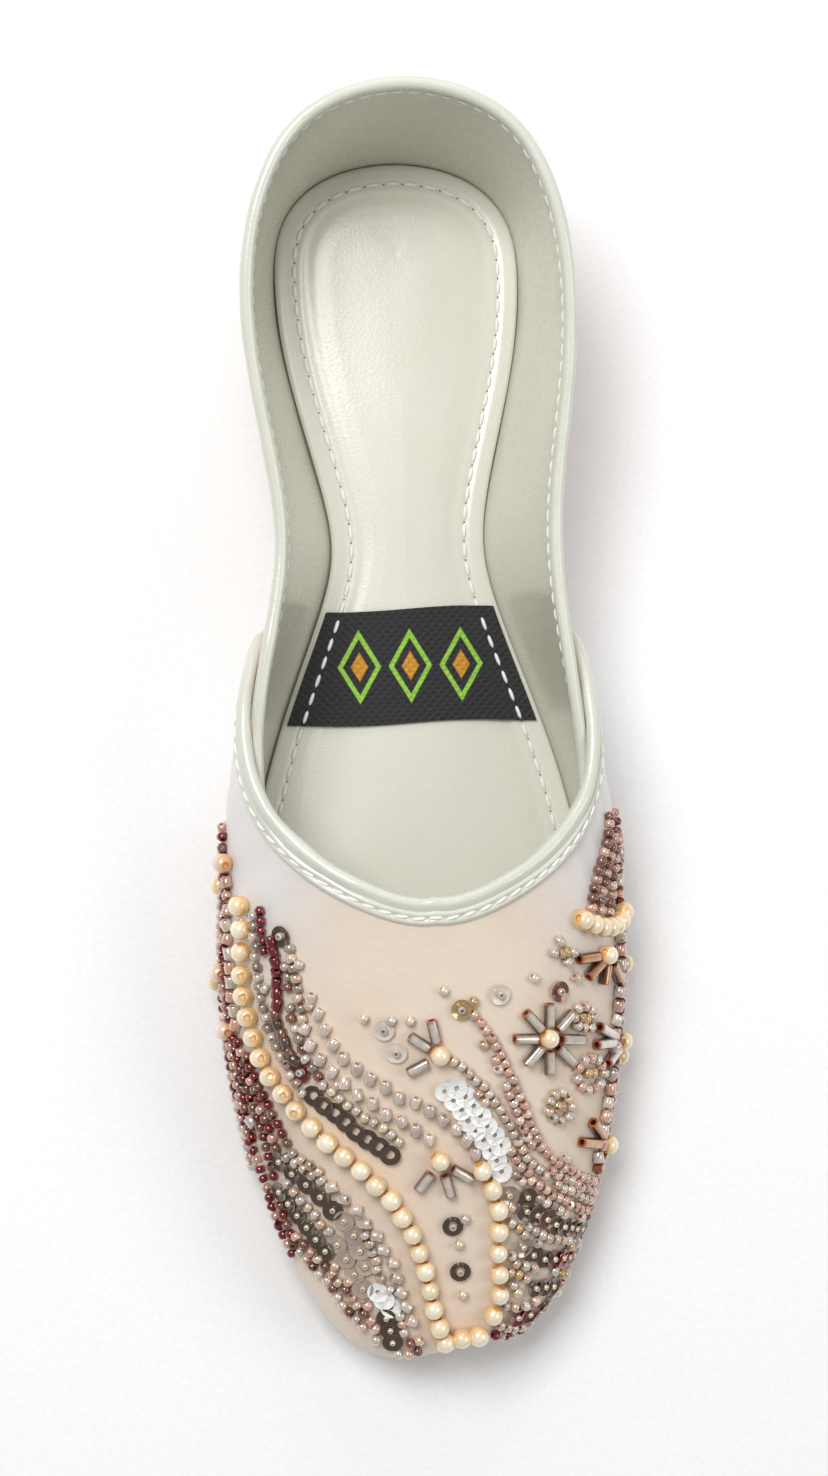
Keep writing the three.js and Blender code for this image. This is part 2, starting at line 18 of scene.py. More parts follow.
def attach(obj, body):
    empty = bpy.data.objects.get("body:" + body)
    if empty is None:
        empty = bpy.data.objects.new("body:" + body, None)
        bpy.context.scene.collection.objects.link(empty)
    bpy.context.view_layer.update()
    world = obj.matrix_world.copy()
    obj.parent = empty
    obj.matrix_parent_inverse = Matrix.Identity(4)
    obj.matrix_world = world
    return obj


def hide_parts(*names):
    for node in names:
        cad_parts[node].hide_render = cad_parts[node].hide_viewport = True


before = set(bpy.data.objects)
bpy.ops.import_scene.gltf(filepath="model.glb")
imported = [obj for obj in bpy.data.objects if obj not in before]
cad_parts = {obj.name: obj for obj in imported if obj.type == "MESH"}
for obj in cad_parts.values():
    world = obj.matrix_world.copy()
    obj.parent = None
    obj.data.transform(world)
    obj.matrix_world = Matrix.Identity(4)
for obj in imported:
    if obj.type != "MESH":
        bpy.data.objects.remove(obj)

MM = 0.001
SMALL_STEP = 1e-3
Array = np.ndarray
Place = tuple[float, float]
Triple = tuple[float, float, float]
LOG = logging.getLogger("mojari")
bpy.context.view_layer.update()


def smooth(x: Array, start: float, end: float) -> Array:
    """Return 0 before start, 1 after end and a smooth cubic between them."""
    f = np.clip((np.asarray(x, float) - start) / (end - start), 0, 1)
    return f * f * (3 - 2 * f)


def lerp(a: Array, b: Array, f: Array) -> Array:
    """Return the straight blend from a to b."""
    return a + (b - a) * f


def bump(x: Array, middle: float, width: float) -> Array:
    """Return a bell curve of height 1 at middle, its width the distance to about a third."""
    return np.exp(-(((x - middle) / width) ** 2))


def unit(v: Array) -> Array:
    """Return vectors of length 1 along v."""
    return v / np.maximum(np.linalg.norm(v, axis=-1, keepdims=True), 1e-12)


def distance_along(line: Array) -> Array:
    """Return the distance along a line of points at each of them."""
    steps = np.linalg.norm(np.diff(line, axis=0), axis=1)
    return np.concatenate(([0], np.cumsum(steps)))


def rows_at(places: Array, distance: Array, rows: Array) -> Array:
    """Return rows that are known at distances along a line, at other places on it."""
    return np.stack([np.interp(places, distance, column) for column in rows.T], -1)


class Section(NamedTuple):
    """A row of the last: the foot of its wall on both sides, the ridge line that it leans to,
    its lean at the middle and bulge near the foot, the bulge's height, and the collar's height
    (quarters) or the ridge's (vamp)."""

    in_x: float
    in_y: float
    out_x: float
    out_y: float
    ridge_y: float
    lean_in: float
    lean_out: float
    flare: float
    side: float
    height: float


SECTIONS = (
    Section(0, 119.2, 0, 119.2, 103, 5.4, 5.4, 3, 15, 54),
    Section(15.8, 115.8, 15.8, 115.6, 101, 4.8, 3.8, 3, 15, 54),
    Section(24.2, 106.2, 24.2, 106, 96, 2.4, 1, 3.4, 15, 53),
    Section(25, 94, 24.9, 94, 88, 5.3, 3.6, 4.6, 15, 51),
    Section(23.8, 80, 23.7, 80, 78, 7.3, 6, 6, 15, 48),
    Section(20.2, 65, 20.2, 65, 65, 8.7, 8.4, 7.5, 15, 45),
    Section(16.3, 51, 16.6, 51, 51, 10, 10, 8.5, 15, 42.6),
    Section(13.9, 38, 14.9, 38, 38, 11.1, 10.8, 8.5, 15, 41),
    Section(18.8, 24, 19.2, 24, 24, 8.5, 7.1, 7.5, 15, 40.4),
    Section(25.2, 8, 25.3, 8, 8.5, 5.6, 2.8, 11, 16, 40),
    Section(30.4, -8, 30.6, -8, -6.5, 1.2, 0, 9.5, 17, 52),
    Section(33.8, -24, 33.9, -24, -20, -3.2, -3.2, 8.4, 17.5, 46.3),
    Section(35.6, -41, 35.5, -41, -34, -6.2, -6.2, 7.4, 18, 42),
    Section(35.4, -58, 35.2, -58, -48, -7.4, -7.4, 6, 17, 38.6),
    Section(33.5, -74, 33.4, -74, -61.5, -7.6, -7.6, 4.4, 15.5, 35),
    Section(30.2, -89, 30.2, -89, -74.5, -7.2, -7.2, 3.6, 13.5, 31.2),
    Section(25.6, -102.6, 25.8, -101.6, -86, -6.2, -6.2, 3, 11.5, 27.4),
    Section(18.8, -114.4, 20.6, -111.6, -95, -5, -5, 2.6, 10, 24.2),
    Section(10.6, -121.2, 14, -117, -100.5, -4.2, -4.2, 2.4, 9.4, 22.2),
    Section(-1.4, -119.4, 1.4, -119.4, -102, -4, -4, 2.4, 9.2, 21.6),
)
FIRST_VAMP_SECTION = 10


@dataclass
class Last:
    """The last, as a point for a section u and a rise t from the wall's foot to the ridge."""

    sections: tuple[Section, ...] = SECTIONS
    sole_thickness: float = 4.0
    seat_gap: float = 0.3
    heel_rise: float = 5.0
    toe_spring: float = 5.0
    ball_back: float = -20.0
    ball_front: float = -62.0
    heel_front: float = 72.0
    toe_tip: float = -122.0
    rows: Array = field(init=False)

    def __post_init__(self) -> None:
        """Lay the sections out as one ring, down the outer side and back up the inner side."""
        self.toe = len(self.sections) - 1
        self.ring = 2 * self.toe
        rows = []
        for k in range(self.ring):
            outer = k <= self.toe
            s = self.sections[k if outer else self.ring - k]
            y = s.out_y if outer else s.in_y
            x = s.out_x if outer else -s.in_x
            row = k if outer else self.ring - k
            ridge = s.height
            # The collar's height is reached at half rise, so the ridge is worked back from it.
            if row < FIRST_VAMP_SECTION:
                ridge = (8 * s.height - 4 * float(self.seat(y)) - 3 * s.side) / 4
            lean = s.lean_out if outer else s.lean_in
            rows.append((x, y, s.ridge_y, lean, s.flare, s.side, ridge))
        self.rows = np.array(rows)

    def sole_under(self, y: Array) -> Array:
        """Return the height of the outsole's underside at y."""
        fore = np.maximum((self.ball_front - y) / (self.ball_front - self.toe_tip), 0)
        return self.heel_rise * smooth(y, self.ball_back, self.heel_front) + self.toe_spring * fore**1.8

    def seat(self, y: Array) -> Array:
        """Return the height that the upper and the insole stand on at y."""
        return self.sole_under(y) + self.sole_thickness + self.seat_gap

    def at(self, u: Array) -> Array:
        """Return the row of sizes at section u, from a uniform cubic B-spline.

        Args:
            u: Section, a whole number at a row of the table.

        Returns:
            The sizes, in the order that the ring's rows have.
        """
        turn = np.mod(u, self.ring)
        k = np.floor(turn).astype(int)
        f = turn - k
        weights = (
            (1 - f) ** 3 / 6,
            (3 * f**3 - 6 * f**2 + 4) / 6,
            (-3 * f**3 + 3 * f**2 + 3 * f + 1) / 6,
            f**3 / 6,
        )
        return sum(w[..., None] * self.rows[(k + j - 1) % self.ring] for j, w in enumerate(weights))

    def from_heel(self, u: Array) -> Array:
        """Return sections counted from the heel on either side."""
        turn = np.mod(u, self.ring)
        return np.minimum(turn, self.ring - turn)

    def ridge_slope(self, u: Array) -> Array:
        """Return the rise of the ridge line for each millimetre towards the heel."""
        v = np.clip(self.from_heel(u), 0.5, self.toe - 0.5)
        a = self.at(v - 0.01)
        b = self.at(v + 0.01)
        return (b[..., 6] - a[..., 6]) / (b[..., 2] - a[..., 2])

    def point(self, u: Array, t: Array) -> Array:
        """Return the last's point: a cubic Bezier from the foot, past the side bulge and the
        shoulder, to the ridge. Past the ridge, t runs down the other side.

        Args:
            u: Section, from the heel down the outer side and back.
            t: Rise, 0 at the foot and 1 on the ridge.

        Returns:
            Points in millimetres, one more axis than u.
        """
        u, t = np.broadcast_arrays(np.asarray(u, float), np.asarray(t, float))
        over = t > 1
        u = np.where(over, self.ring - u, u)
        t = np.where(over, 2 - t, t)
        x, y, ridge_y, lean, flare, side, ridge = np.moveaxis(self.at(u), -1, 0)
        reach = np.hypot(x, y - ridge_y)
        out_x = x / reach
        out_y = (y - ridge_y) / reach
        bulge = reach + flare
        # At half rise the wall stands out by its reach and its lean.
        shoulder = (8 * (reach + lean) - reach - 3 * bulge) / 3
        vamp = smooth(self.from_heel(u), 8.5, 11)
        drop = np.maximum(self.ridge_slope(u), 0) * out_y * shoulder * vamp
        seat = self.seat(y)
        w = ((1 - t) ** 3, 3 * (1 - t) ** 2 * t, 3 * (1 - t) * t**2, t**3)
        r = w[0] * reach + w[1] * bulge + w[2] * shoulder
        z = w[0] * seat + w[1] * (seat + side) + w[2] * (ridge + drop) + w[3] * ridge
        return np.stack((out_x * r, ridge_y + out_y * r, z), axis=-1)

    def normal(self, u: Array, t: Array) -> Array:
        """Return the last's outward normal, which on the ridge is the ridge line's own.

        Args:
            u: Section.
            t: Rise.

        Returns:
            Vectors of length 1.
        """
        u, t = np.broadcast_arrays(np.asarray(u, float), np.asarray(t, float))
        low = np.maximum(t - SMALL_STEP, 0)
        rising = self.point(u, low + 2 * SMALL_STEP) - self.point(u, low)
        along = self.point(u + SMALL_STEP, t) - self.point(u - SMALL_STEP, t)
        free = unit(np.cross(rising, along))
        slope = self.ridge_slope(u)
        ridge = unit(np.stack((0 * slope, -slope, 1 + 0 * slope), axis=-1))
        return np.where((np.abs(t - 1) < SMALL_STEP)[..., None], ridge, free)

    def off(self, u: Array, t: Array, offset: Array) -> Array:
        """Return points off the last. At the foot the offset is level with the sole.

        Args:
            u: Section.
            t: Rise.
            offset: Distance off the last.

        Returns:
            Points in millimetres.
        """
        u, t = np.broadcast_arrays(np.asarray(u, float), np.asarray(t, float))
        normal = self.normal(u, t)
        folded = np.where(t > 1, 2 - t, t)
        normal[..., 2] *= smooth(folded, 0, 0.12)
        return self.point(u, t) + unit(normal) * np.asarray(offset, float)[..., None]

    def outline(self, u: Array, margin: Array) -> Array:
        """Return the plan of the wall's foot.

        Args:
            u: Section.
            margin: Distance that it is moved out.

        Returns:
            Points as (x, y).
        """
        a = self.at(u - SMALL_STEP)[..., :2]
        b = self.at(u + SMALL_STEP)[..., :2]
        along = unit(b - a)
        out = np.stack((-along[..., 1], along[..., 0]), axis=-1)
        return self.at(u)[..., :2] + out * np.asarray(margin, float)[..., None]


class EdgeRow(NamedTuple):
    """A station of a layer's edge: its section at the foot and at the top, and its top's rise."""

    foot: float
    top: float
    rise: float


COLLAR_RISE = 0.468
QUARTER_EDGE = (
    *(EdgeRow(u, u, COLLAR_RISE) for u in (0, 0.7, 1.4, 2.1, 3, 4, 5.2, 6.6, 8.2)),
    EdgeRow(9.6, 9.5, 0.47),
    EdgeRow(10.6, 10.3, 0.5),
    EdgeRow(11.4, 10.95, 0.62),
    EdgeRow(12.1, 11.5, 0.77),
    EdgeRow(12.6, 11.82, 0.9),
    EdgeRow(13, 11.95, 1),
)
VAMP_EDGE = (
    EdgeRow(7.9, 8.2, 0.24),
    EdgeRow(8.1, 8.34, 0.32),
    EdgeRow(8.4, 8.6, 0.378),
    EdgeRow(8.9, 9, 0.418),
    EdgeRow(9.5, 9.5, 0.465),
    EdgeRow(10.2, 10.05, 0.53),
    EdgeRow(10.8, 10.55, 0.605),
    EdgeRow(11.4, 11.05, 0.71),
    EdgeRow(11.9, 11.45, 0.82),
    EdgeRow(12.4, 11.74, 0.92),
    EdgeRow(12.8, 11.85, 1),
)
VAMP_FOOT_RISE = 0.012


@dataclass
class Shape:
    """A mesh in arrays: points, four-cornered faces, a material number a face and a tint a point."""

    points: Array
    quads: Array
    slots: Array | None = None
    tints: Array | None = None

    def turned_out(self) -> "Shape":
        """Return the closed shape with its faces pointing outwards, by the sign of its volume."""
        a, b, c, d = (self.points[self.quads[:, k]] for k in range(4))
        volume = np.einsum("ij,ij->i", a, np.cross(b, c) + np.cross(c, d)).sum()
        if volume < 0:
            self.quads = self.quads[:, ::-1]
        return self


def grid_quads(columns: int, rows: int, wrap: bool = False) -> Array:
    """Return the quads of a grid of points kept column by column.

    Args:
        columns: Number of columns of points.
        rows: Number of points in a column.
        wrap: Whether the last row joins the first.

    Returns:
        An array of quads, four point numbers each.
    """
    c = np.arange(columns - 1)[:, None]
    r = np.arange(rows if wrap else rows - 1)[None, :]
    after = (r + 1) % rows
    quads = np.stack((c * rows + r, (c + 1) * rows + r, (c + 1) * rows + after, c * rows + after), axis=-1)
    return quads.reshape(-1, 4)


class Body(Enum):
    """The bodies that pieces ride on."""

    SHOE = "root"


class Maker:
    """Makes Blender objects from shapes and puts each on its body."""

    def piece(
        self,
        name: str,
        shape: Shape,
        materials: list[bpy.types.Material],
        slot: str,
        replaces: tuple[str, ...] = (),
        sharp: float = 40.0,
    ) -> bpy.types.Object:
        """Make a piece at the origin, welded and smooth but for edges sharper than an angle.

        Args:
            name: The object's name.
            shape: The mesh, in millimetres.
            materials: Its finishes, in the order that the shape's slots count them.
            slot: The record's material slot; it is not used.
            replaces: Solids that this piece stands for.
            sharp: Edge angle in degrees above which the shading breaks.

        Returns:
            The new object.
        """
        mesh = bpy.data.meshes.new(name)
        mesh.vertices.add(len(shape.points))
        mesh.vertices.foreach_set("co", (shape.points * MM).astype(np.float32).ravel())
        mesh.loops.add(shape.quads.size)
        mesh.loops.foreach_set("vertex_index", shape.quads.astype(np.int32).ravel())
        mesh.polygons.add(len(shape.quads))
        mesh.polygons.foreach_set("loop_start", np.arange(0, shape.quads.size, 4, dtype=np.int32))
        if shape.slots is not None:
            mesh.polygons.foreach_set("material_index", shape.slots.astype(np.int32))
        if shape.tints is not None:
            tint = mesh.attributes.new("tint", "FLOAT_COLOR", "POINT")
            tint.data.foreach_set("color", shape.tints.astype(np.float32).ravel())
        mesh.update(calc_edges=True)
        mesh.validate()
        work = bmesh.new()
        work.from_mesh(mesh)
        bmesh.ops.remove_doubles(work, verts=work.verts, dist=1e-7)
        bmesh.ops.dissolve_degenerate(work, edges=work.edges, dist=1e-8)
        work.to_mesh(mesh)
        work.free()
        mesh.shade_smooth()
        mesh.set_sharp_from_angle(angle=math.radians(sharp))
        for material in materials:
            mesh.materials.append(material)
        made = bpy.data.objects.new(name, mesh)
        bpy.context.scene.collection.objects.link(made)
        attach(made, Body.SHOE.value)
        if replaces:
            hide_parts(*replaces)
        LOG.info("%s: %d faces", name, len(mesh.polygons))
        return made


class Wire:
    """A socket of a shader that takes part in arithmetic: an expression adds its Math nodes."""

    def __init__(self, tree: bpy.types.NodeTree, socket: bpy.types.NodeSocket) -> None:
        """Keep the node tree and the socket."""
        self.tree = tree
        self.socket = socket

    def math(self, operation: str, *values: "Wire | float") -> "Wire":
        """Add a Math node.

        Args:
            operation: What it does, in Blender's word.
            values: Wires or numbers for its inputs.

        Returns:
            Its output.
        """
        node = self.tree.nodes.new("ShaderNodeMath")
        node.operation = operation
        for k, value in enumerate(values):
            if isinstance(value, Wire):
                self.tree.links.new(value.socket, node.inputs[k])
            else:
                node.inputs[k].default_value = value
        return Wire(self.tree, node.outputs[0])

    def __add__(self, other: "Wire | float") -> "Wire":
        """Return the sum."""
        return self.math("ADD", self, other)

    __radd__ = __add__

    def __sub__(self, other: "Wire | float") -> "Wire":
        """Return the difference."""
        return self.math("SUBTRACT", self, other)

    def __rsub__(self, other: float) -> "Wire":
        """Return the difference, this socket taken away."""
        return self.math("SUBTRACT", other, self)

    def __mul__(self, other: "Wire | float") -> "Wire":
        """Return the product."""
        return self.math("MULTIPLY", self, other)

    __rmul__ = __mul__

    def __truediv__(self, other: "Wire | float") -> "Wire":
        """Return the quotient."""
        return self.math("DIVIDE", self, other)

    def __abs__(self) -> "Wire":
        """Return the value without its sign."""
        return self.math("ABSOLUTE", self)

    def folded(self, width: float) -> "Wire":
        """Return the value folded to and fro between 0 and a width."""
        return self.math("PINGPONG", self, width)


@dataclass(frozen=True)
class Finish:
    """A plain finish, from which the others are made: the values that are the same all over."""

    name: str
    colour: Triple
    roughness: float = 0.5
    metallic: float = 0.0
    coat: float = 0.0
    coat_roughness: float = 0.2
    sheen: float = 0.0
    specular: float = 0.5

    def material(self) -> bpy.types.Material:
        """Return the finish as a material."""
        made = bpy.data.materials.new(self.name)
        made.use_nodes = True
        shader = made.node_tree.nodes["Principled BSDF"]
        shader.inputs["Base Color"].default_value = (*self.colour, 1)
        shader.inputs["Roughness"].default_value = self.roughness
        shader.inputs["Metallic"].default_value = self.metallic
        shader.inputs["Coat Weight"].default_value = self.coat
        shader.inputs["Coat Roughness"].default_value = self.coat_roughness
        shader.inputs["Sheen Weight"].default_value = self.sheen
        shader.inputs["Specular IOR Level"].default_value = self.specular
        self.dress(Nodes(made.node_tree, shader))
        return made

    def dress(self, nodes: "Nodes") -> None:
        """Add what varies over the surface. A plain finish has a faint mottle."""
        mottle = nodes.noise(900, detail=3)
        nodes.colour(nodes.mix(mottle, self.colour, tuple(0.9 * c for c in self.colour)))
        nodes.relief(mottle, 0.00004)


class Nodes:
    """Builds the nodes of one material."""

    def __init__(self, tree: bpy.types.NodeTree, shader: bpy.types.Node) -> None:
        """Start from the shader and the object's own coordinates."""
        self.tree = tree
        self.shader = shader
        self.place = self.add("ShaderNodeTexCoord").outputs["Object"]

    def add(
        self,
        kind: str,
        settings: dict[str, object] | None = None,
        sockets: dict[str | int, object] | None = None,
    ) -> bpy.types.Node:
        """Add a node: its settings first, then the values or links of its sockets.

        Args:
            kind: Blender's type name.
            settings: Attributes of the node; "stops" gives a ramp's positions and colours.
            sockets: Values, wires or sockets for its inputs.

        Returns:
            The new node.
        """
        node = self.tree.nodes.new(kind)
        for key, value in (settings or {}).items():
            if key != "stops":
                setattr(node, key, value)
                continue
            ramp = node.color_ramp
            while len(ramp.elements) < len(value):
                ramp.elements.new(0.5)
            for element, (position, colour) in zip(ramp.elements, value):
                element.position = position
                element.color = (*colour, 1)
        for key, value in (sockets or {}).items():
            target = node.inputs[key]
            if isinstance(value, Wire):
                self.tree.links.new(value.socket, target)
            elif isinstance(value, bpy.types.NodeSocket):
                self.tree.links.new(value, target)
            else:
                target.default_value = value
        return node

    def wire(self, socket: bpy.types.NodeSocket) -> Wire:
        """Return a socket for arithmetic."""
        return Wire(self.tree, socket)

    def axes(self) -> tuple[Wire, ...]:
        """Return the object's own x, y and z."""
        split = self.add("ShaderNodeSeparateXYZ", {}, {"Vector": self.place})
        return tuple(self.wire(socket) for socket in split.outputs)

    def noise(self, scale: float, detail: float = 2, rough: float = 0.5, stretch: Triple = (1, 1, 1)) -> Wire:
        """Return a noise of about scale spots a metre, between 0 and 1."""
        place = self.add("ShaderNodeMapping", {}, {"Vector": self.place, "Scale": stretch}).outputs["Vector"]
        sockets = {"Vector": place, "Scale": scale, "Detail": detail, "Roughness": rough}
        return self.wire(self.add("ShaderNodeTexNoise", {}, sockets).outputs["Fac"])

    def cells(self, scale: float) -> Wire:
        """Return a cell pattern's distance, for leather grain."""
        node = self.add("ShaderNodeTexVoronoi", {"feature": "F1"}, {"Vector": self.place, "Scale": scale})
        return self.wire(node.outputs["Distance"])

    def wave(self, scale: float, axis: str, warp: float = 0.0) -> Wire:
        """Return a sine along an axis, between 0 and 1."""
        node = self.add(
            "ShaderNodeTexWave",
            {"bands_direction": axis},
            {"Vector": self.place, "Scale": scale, "Distortion": warp, "Detail": 2, "Detail Scale": 2},
        )
        return self.wire(node.outputs["Fac"])

    def ramp(self, value: Wire, low: float, high: float) -> Wire:
        """Return the value spread from 0 at low to 1 at high."""
        node = self.add(
            "ShaderNodeMapRange", {"clamp": True}, {"Value": value, "From Min": low, "From Max": high}
        )
        return self.wire(node.outputs["Result"])

    def mix(self, factor: Wire | float, a: object, b: object, blend: str = "MIX") -> bpy.types.NodeSocket:
        """Return a colour between a and b, each a colour or a socket.

        Args:
            factor: How far to go from a to b.
            a: The first colour.
            b: The second colour.
            blend: How the second colour is laid over the first.

        Returns:
            The socket of the mixed colour.
        """
        sockets = {0: factor}
        for key, value in ((6, a), (7, b)):
            sockets[key] = (*value, 1) if isinstance(value, tuple) else value
        node = self.add("ShaderNodeMix", {"data_type": "RGBA", "blend_type": blend}, sockets)
        return node.outputs[2]

    def colour(self, socket: bpy.types.NodeSocket) -> None:
        """Lead a colour to the shader."""
        self.tree.links.new(socket, self.shader.inputs["Base Color"])

    def rough(self, value: Wire) -> None:
        """Lead a roughness to the shader."""
        self.tree.links.new(value.socket, self.shader.inputs["Roughness"])

    def relief(self, height: Wire, depth: float, strength: float = 1.0) -> None:
        """Lead a height to the shader's normal, depth in metres."""
        node = self.add(
            "ShaderNodeBump", {}, {"Height": height, "Distance": depth, "Strength": strength}
        )
        self.tree.links.new(node.outputs["Normal"], self.shader.inputs["Normal"])


@dataclass(frozen=True)
class Satin(Finish):
    """Blush satin: fine ribs across the shoe, soft puckers, and a painted whitish sheen on the flanks,
    which starts so far to the side and so far back, in metres."""

    pale: Triple = (0.84, 0.74, 0.63)
    # Painted sheen: the cool white that the flanks turn to.
    painted_sheen: Triple = (0.84, 0.84, 0.85)
    flank_side: Place = (0.014, 0.03)
    flank_back: Place = (-0.055, -0.028)
    ribs: float = 1500
    threads: float = 2600
    depth: float = 0.00012

    def dress(self, nodes: Nodes) -> None:
        """Add the weave, the cloudy shift of shade, the painted sheen on the flanks and the puckers."""
        ribs = nodes.wave(self.ribs, "Y", 0.6)
        threads = nodes.noise(self.threads, stretch=(0.25, 1, 1))
        cloud = nodes.ramp(nodes.noise(38), 0.38, 0.66)
        puckers = nodes.noise(180, detail=4, rough=0.6, stretch=(1, 0.6, 1))
        x, y, _ = nodes.axes()
        # Painted sheen that whitens the flanks.
        flank = nodes.ramp(abs(x), *self.flank_side) * nodes.ramp(y, *self.flank_back)
        base = nodes.mix(cloud * 0.6, self.colour, self.pale)
        base = nodes.mix(flank * 0.85, base, self.painted_sheen)
        nodes.colour(nodes.mix(threads * 0.18, base, tuple(0.8 * c for c in self.colour)))
        nodes.rough(self.roughness + 0.14 * (threads - 0.5) + 0.08 * (puckers - 0.5))
        nodes.relief(ribs * 0.25 + threads * 0.35 + puckers * 2.2, self.depth, 0.75)


@dataclass(frozen=True)
class Leather(Finish):
    """Coated leather with a fine pebble and soft rolls, so many a metre, as deep as depth in
    metres."""

    grain: float = 1500
    depth: float = 0.00007
    rolls: float = 60
    shade: Triple = (0.6, 0.58, 0.5)

    def dress(self, nodes: Nodes) -> None:
        """Add the pebble, the rolls and slow changes of shade."""
        pebble = nodes.cells(self.grain)
        fine = nodes.noise(self.grain * 1.7, detail=3)
        rolls = nodes.noise(self.rolls, detail=3, rough=0.55)
        nodes.colour(nodes.mix(nodes.ramp(rolls, 0.3, 0.8) * 0.3, self.colour, self.shade))
        nodes.rough(self.roughness + 0.16 * (rolls - 0.5) + 0.1 * (fine - 0.5))
        nodes.relief(pebble * 0.9 + fine * 0.5 + rolls * 3.2, self.depth, 0.8)


@dataclass(frozen=True)
class StackedLeather(Finish):
    """Layers of sole leather seen at their edges, with a burnished grain. A layer's thickness is in
    metres."""

    layer: float = 0.0016
    dark: Triple = (0.2, 0.11, 0.06)

    def dress(self, nodes: Nodes) -> None:
        """Add the layers' joints, the grain and scuffs."""
        _, _, height = nodes.axes()
        joints = height.folded(self.layer) / self.layer
        fibre = nodes.noise(420, detail=5, rough=0.65, stretch=(1, 1, 3))
        line = 1 - nodes.ramp(joints, 0.0, 0.16)
        shade = nodes.mix(nodes.ramp(fibre, 0.3, 0.75) * 0.6, self.colour, self.dark)
        nodes.colour(nodes.mix(line * 0.7, shade, self.dark))
        nodes.rough(self.roughness + 0.25 * (fibre - 0.5))
        nodes.relief(fibre - line * 1.5, 0.00012)


@dataclass(frozen=True)
class WovenLabel(Finish):
    """A black ribbon with a diamond weave and a plain row of woven lozenges along its middle. The
    sizes are in metres: a lozenge's middle, half height and half width, their pitch, how far from
    the middle the row ends, and the weave's pitch."""

    lime: Triple = (0.3, 0.6, 0.06)
    ochre: Triple = (0.62, 0.28, 0.02)
    middle_y: float = 0.0157
    half_height: float = 0.0078
    half_width: float = 0.0046
    pitch: float = 0.0104
    reach: float = 0.0156
    fade: float = 0.0002
    weave: float = 0.0009

    def dress(self, nodes: Nodes) -> None:
        """Add the weave, shown lighter as a painted highlight on its threads, and the lozenges, each a lime
        outline round a small ochre one.
        """
        x, y, _ = nodes.axes()
        left = (x + y).folded(self.weave) / self.weave
        right = (x - y).folded(self.weave) / self.weave
        mesh = left.math("MAXIMUM", left, right)
        threads = nodes.noise(2400)
        across = x.folded(self.pitch / 2) / self.half_width
        down = abs(y - self.middle_y) / self.half_height
        size = across + down
        inside = 1 - nodes.ramp(abs(x), self.reach - self.fade, self.reach)
        outline = (1 - nodes.ramp(abs(size - 0.85), 0.1, 0.15)) * inside
        core = (1 - nodes.ramp(size, 0.36, 0.42)) * inside
        # Painted highlight: the weave is lifted to a lighter shade of the black.
        shade = nodes.mix(mesh * 0.6, self.colour, tuple(2.2 * c for c in self.colour))
        shade = nodes.mix(outline, shade, self.lime)
        nodes.colour(nodes.mix(core, shade, self.ochre))
        nodes.relief(mesh * 2 + threads + outline * 2 + core * 2, 0.00014)


@dataclass(frozen=True)
class Beaded(Finish):
    """Beads that keep their own tints, with a slight change from bead to bead."""

    change: float = 0.12

    def dress(self, nodes: Nodes) -> None:
        """Lead each bead's tint to the shader, with a cloudy change of shade."""
        cloud = nodes.noise(700, detail=1)
        tint = nodes.add("ShaderNodeAttribute", {"attribute_name": "tint"}).outputs["Color"]
        deeper = (1 - 2 * self.change,) * 3
        dark = nodes.mix(1.0, tint, deeper, "MULTIPLY")
        nodes.colour(nodes.mix(nodes.ramp(cloud, 0.35, 0.65), tint, dark))
        nodes.rough(self.roughness + 0.1 * (cloud - 0.5))


def catmull_rom(rows: Array, x: Array) -> Array:
    """Return the smooth curve through rows, of which the first and last only steer it.

    Args:
        rows: Points of the curve.
        x: Places on it, 0 at the second row and 1 at the third.

    Returns:
        A point for each place.
    """
    k = np.minimum(np.floor(x).astype(int), len(rows) - 4)
    g = (x - k)[..., None]
    a, b, c, d = (rows[k + j] for j in range(4))
    return b + 0.5 * g * (c - a + g * (2 * a - 5 * b + 4 * c - d + g * (3 * (b - c) + d - a)))


def through(way: Array, step: float) -> Array:
    """Return the smooth curve through the points of a way.

    Args:
        way: The points.
        step: About how far apart the curve's points are.

    Returns:
        Points of the curve, from the way's first to its last.
    """
    p = np.asarray(way, float)
    rows = np.vstack((2 * p[0] - p[1], p, 2 * p[-1] - p[-2]))
    count = max(int(np.linalg.norm(np.diff(p, axis=0), axis=1).sum() / step), 1)
    return catmull_rom(rows, np.linspace(0, len(p) - 1, count + 1))


def edge_stations(table: tuple[EdgeRow, ...], f: Array) -> Array:
    """Return stations of a layer's edge. Its table is mirrored at the last row, where the edge
    crosses the ridge.

    Args:
        table: Rows of the edge.
        f: Shares of the way through the table.

    Returns:
        Foot section, top section and rise for each share.
    """
    rows = np.array(table)
    first = (2 * rows[0] - rows[1]) * (1, 1, 0) + rows[1] * (0, 0, 1)
    after = (2 * rows[-1] - rows[-2]) * (1, 0, 0) + rows[-2] * (0, 1, 0) + (2 - rows[-2]) * (0, 0, 1)
    out = catmull_rom(np.vstack((first, rows, after)), np.asarray(f, float) * (len(table) - 1))
    out[..., 2] = np.minimum(out[..., 2], 1)
    return out


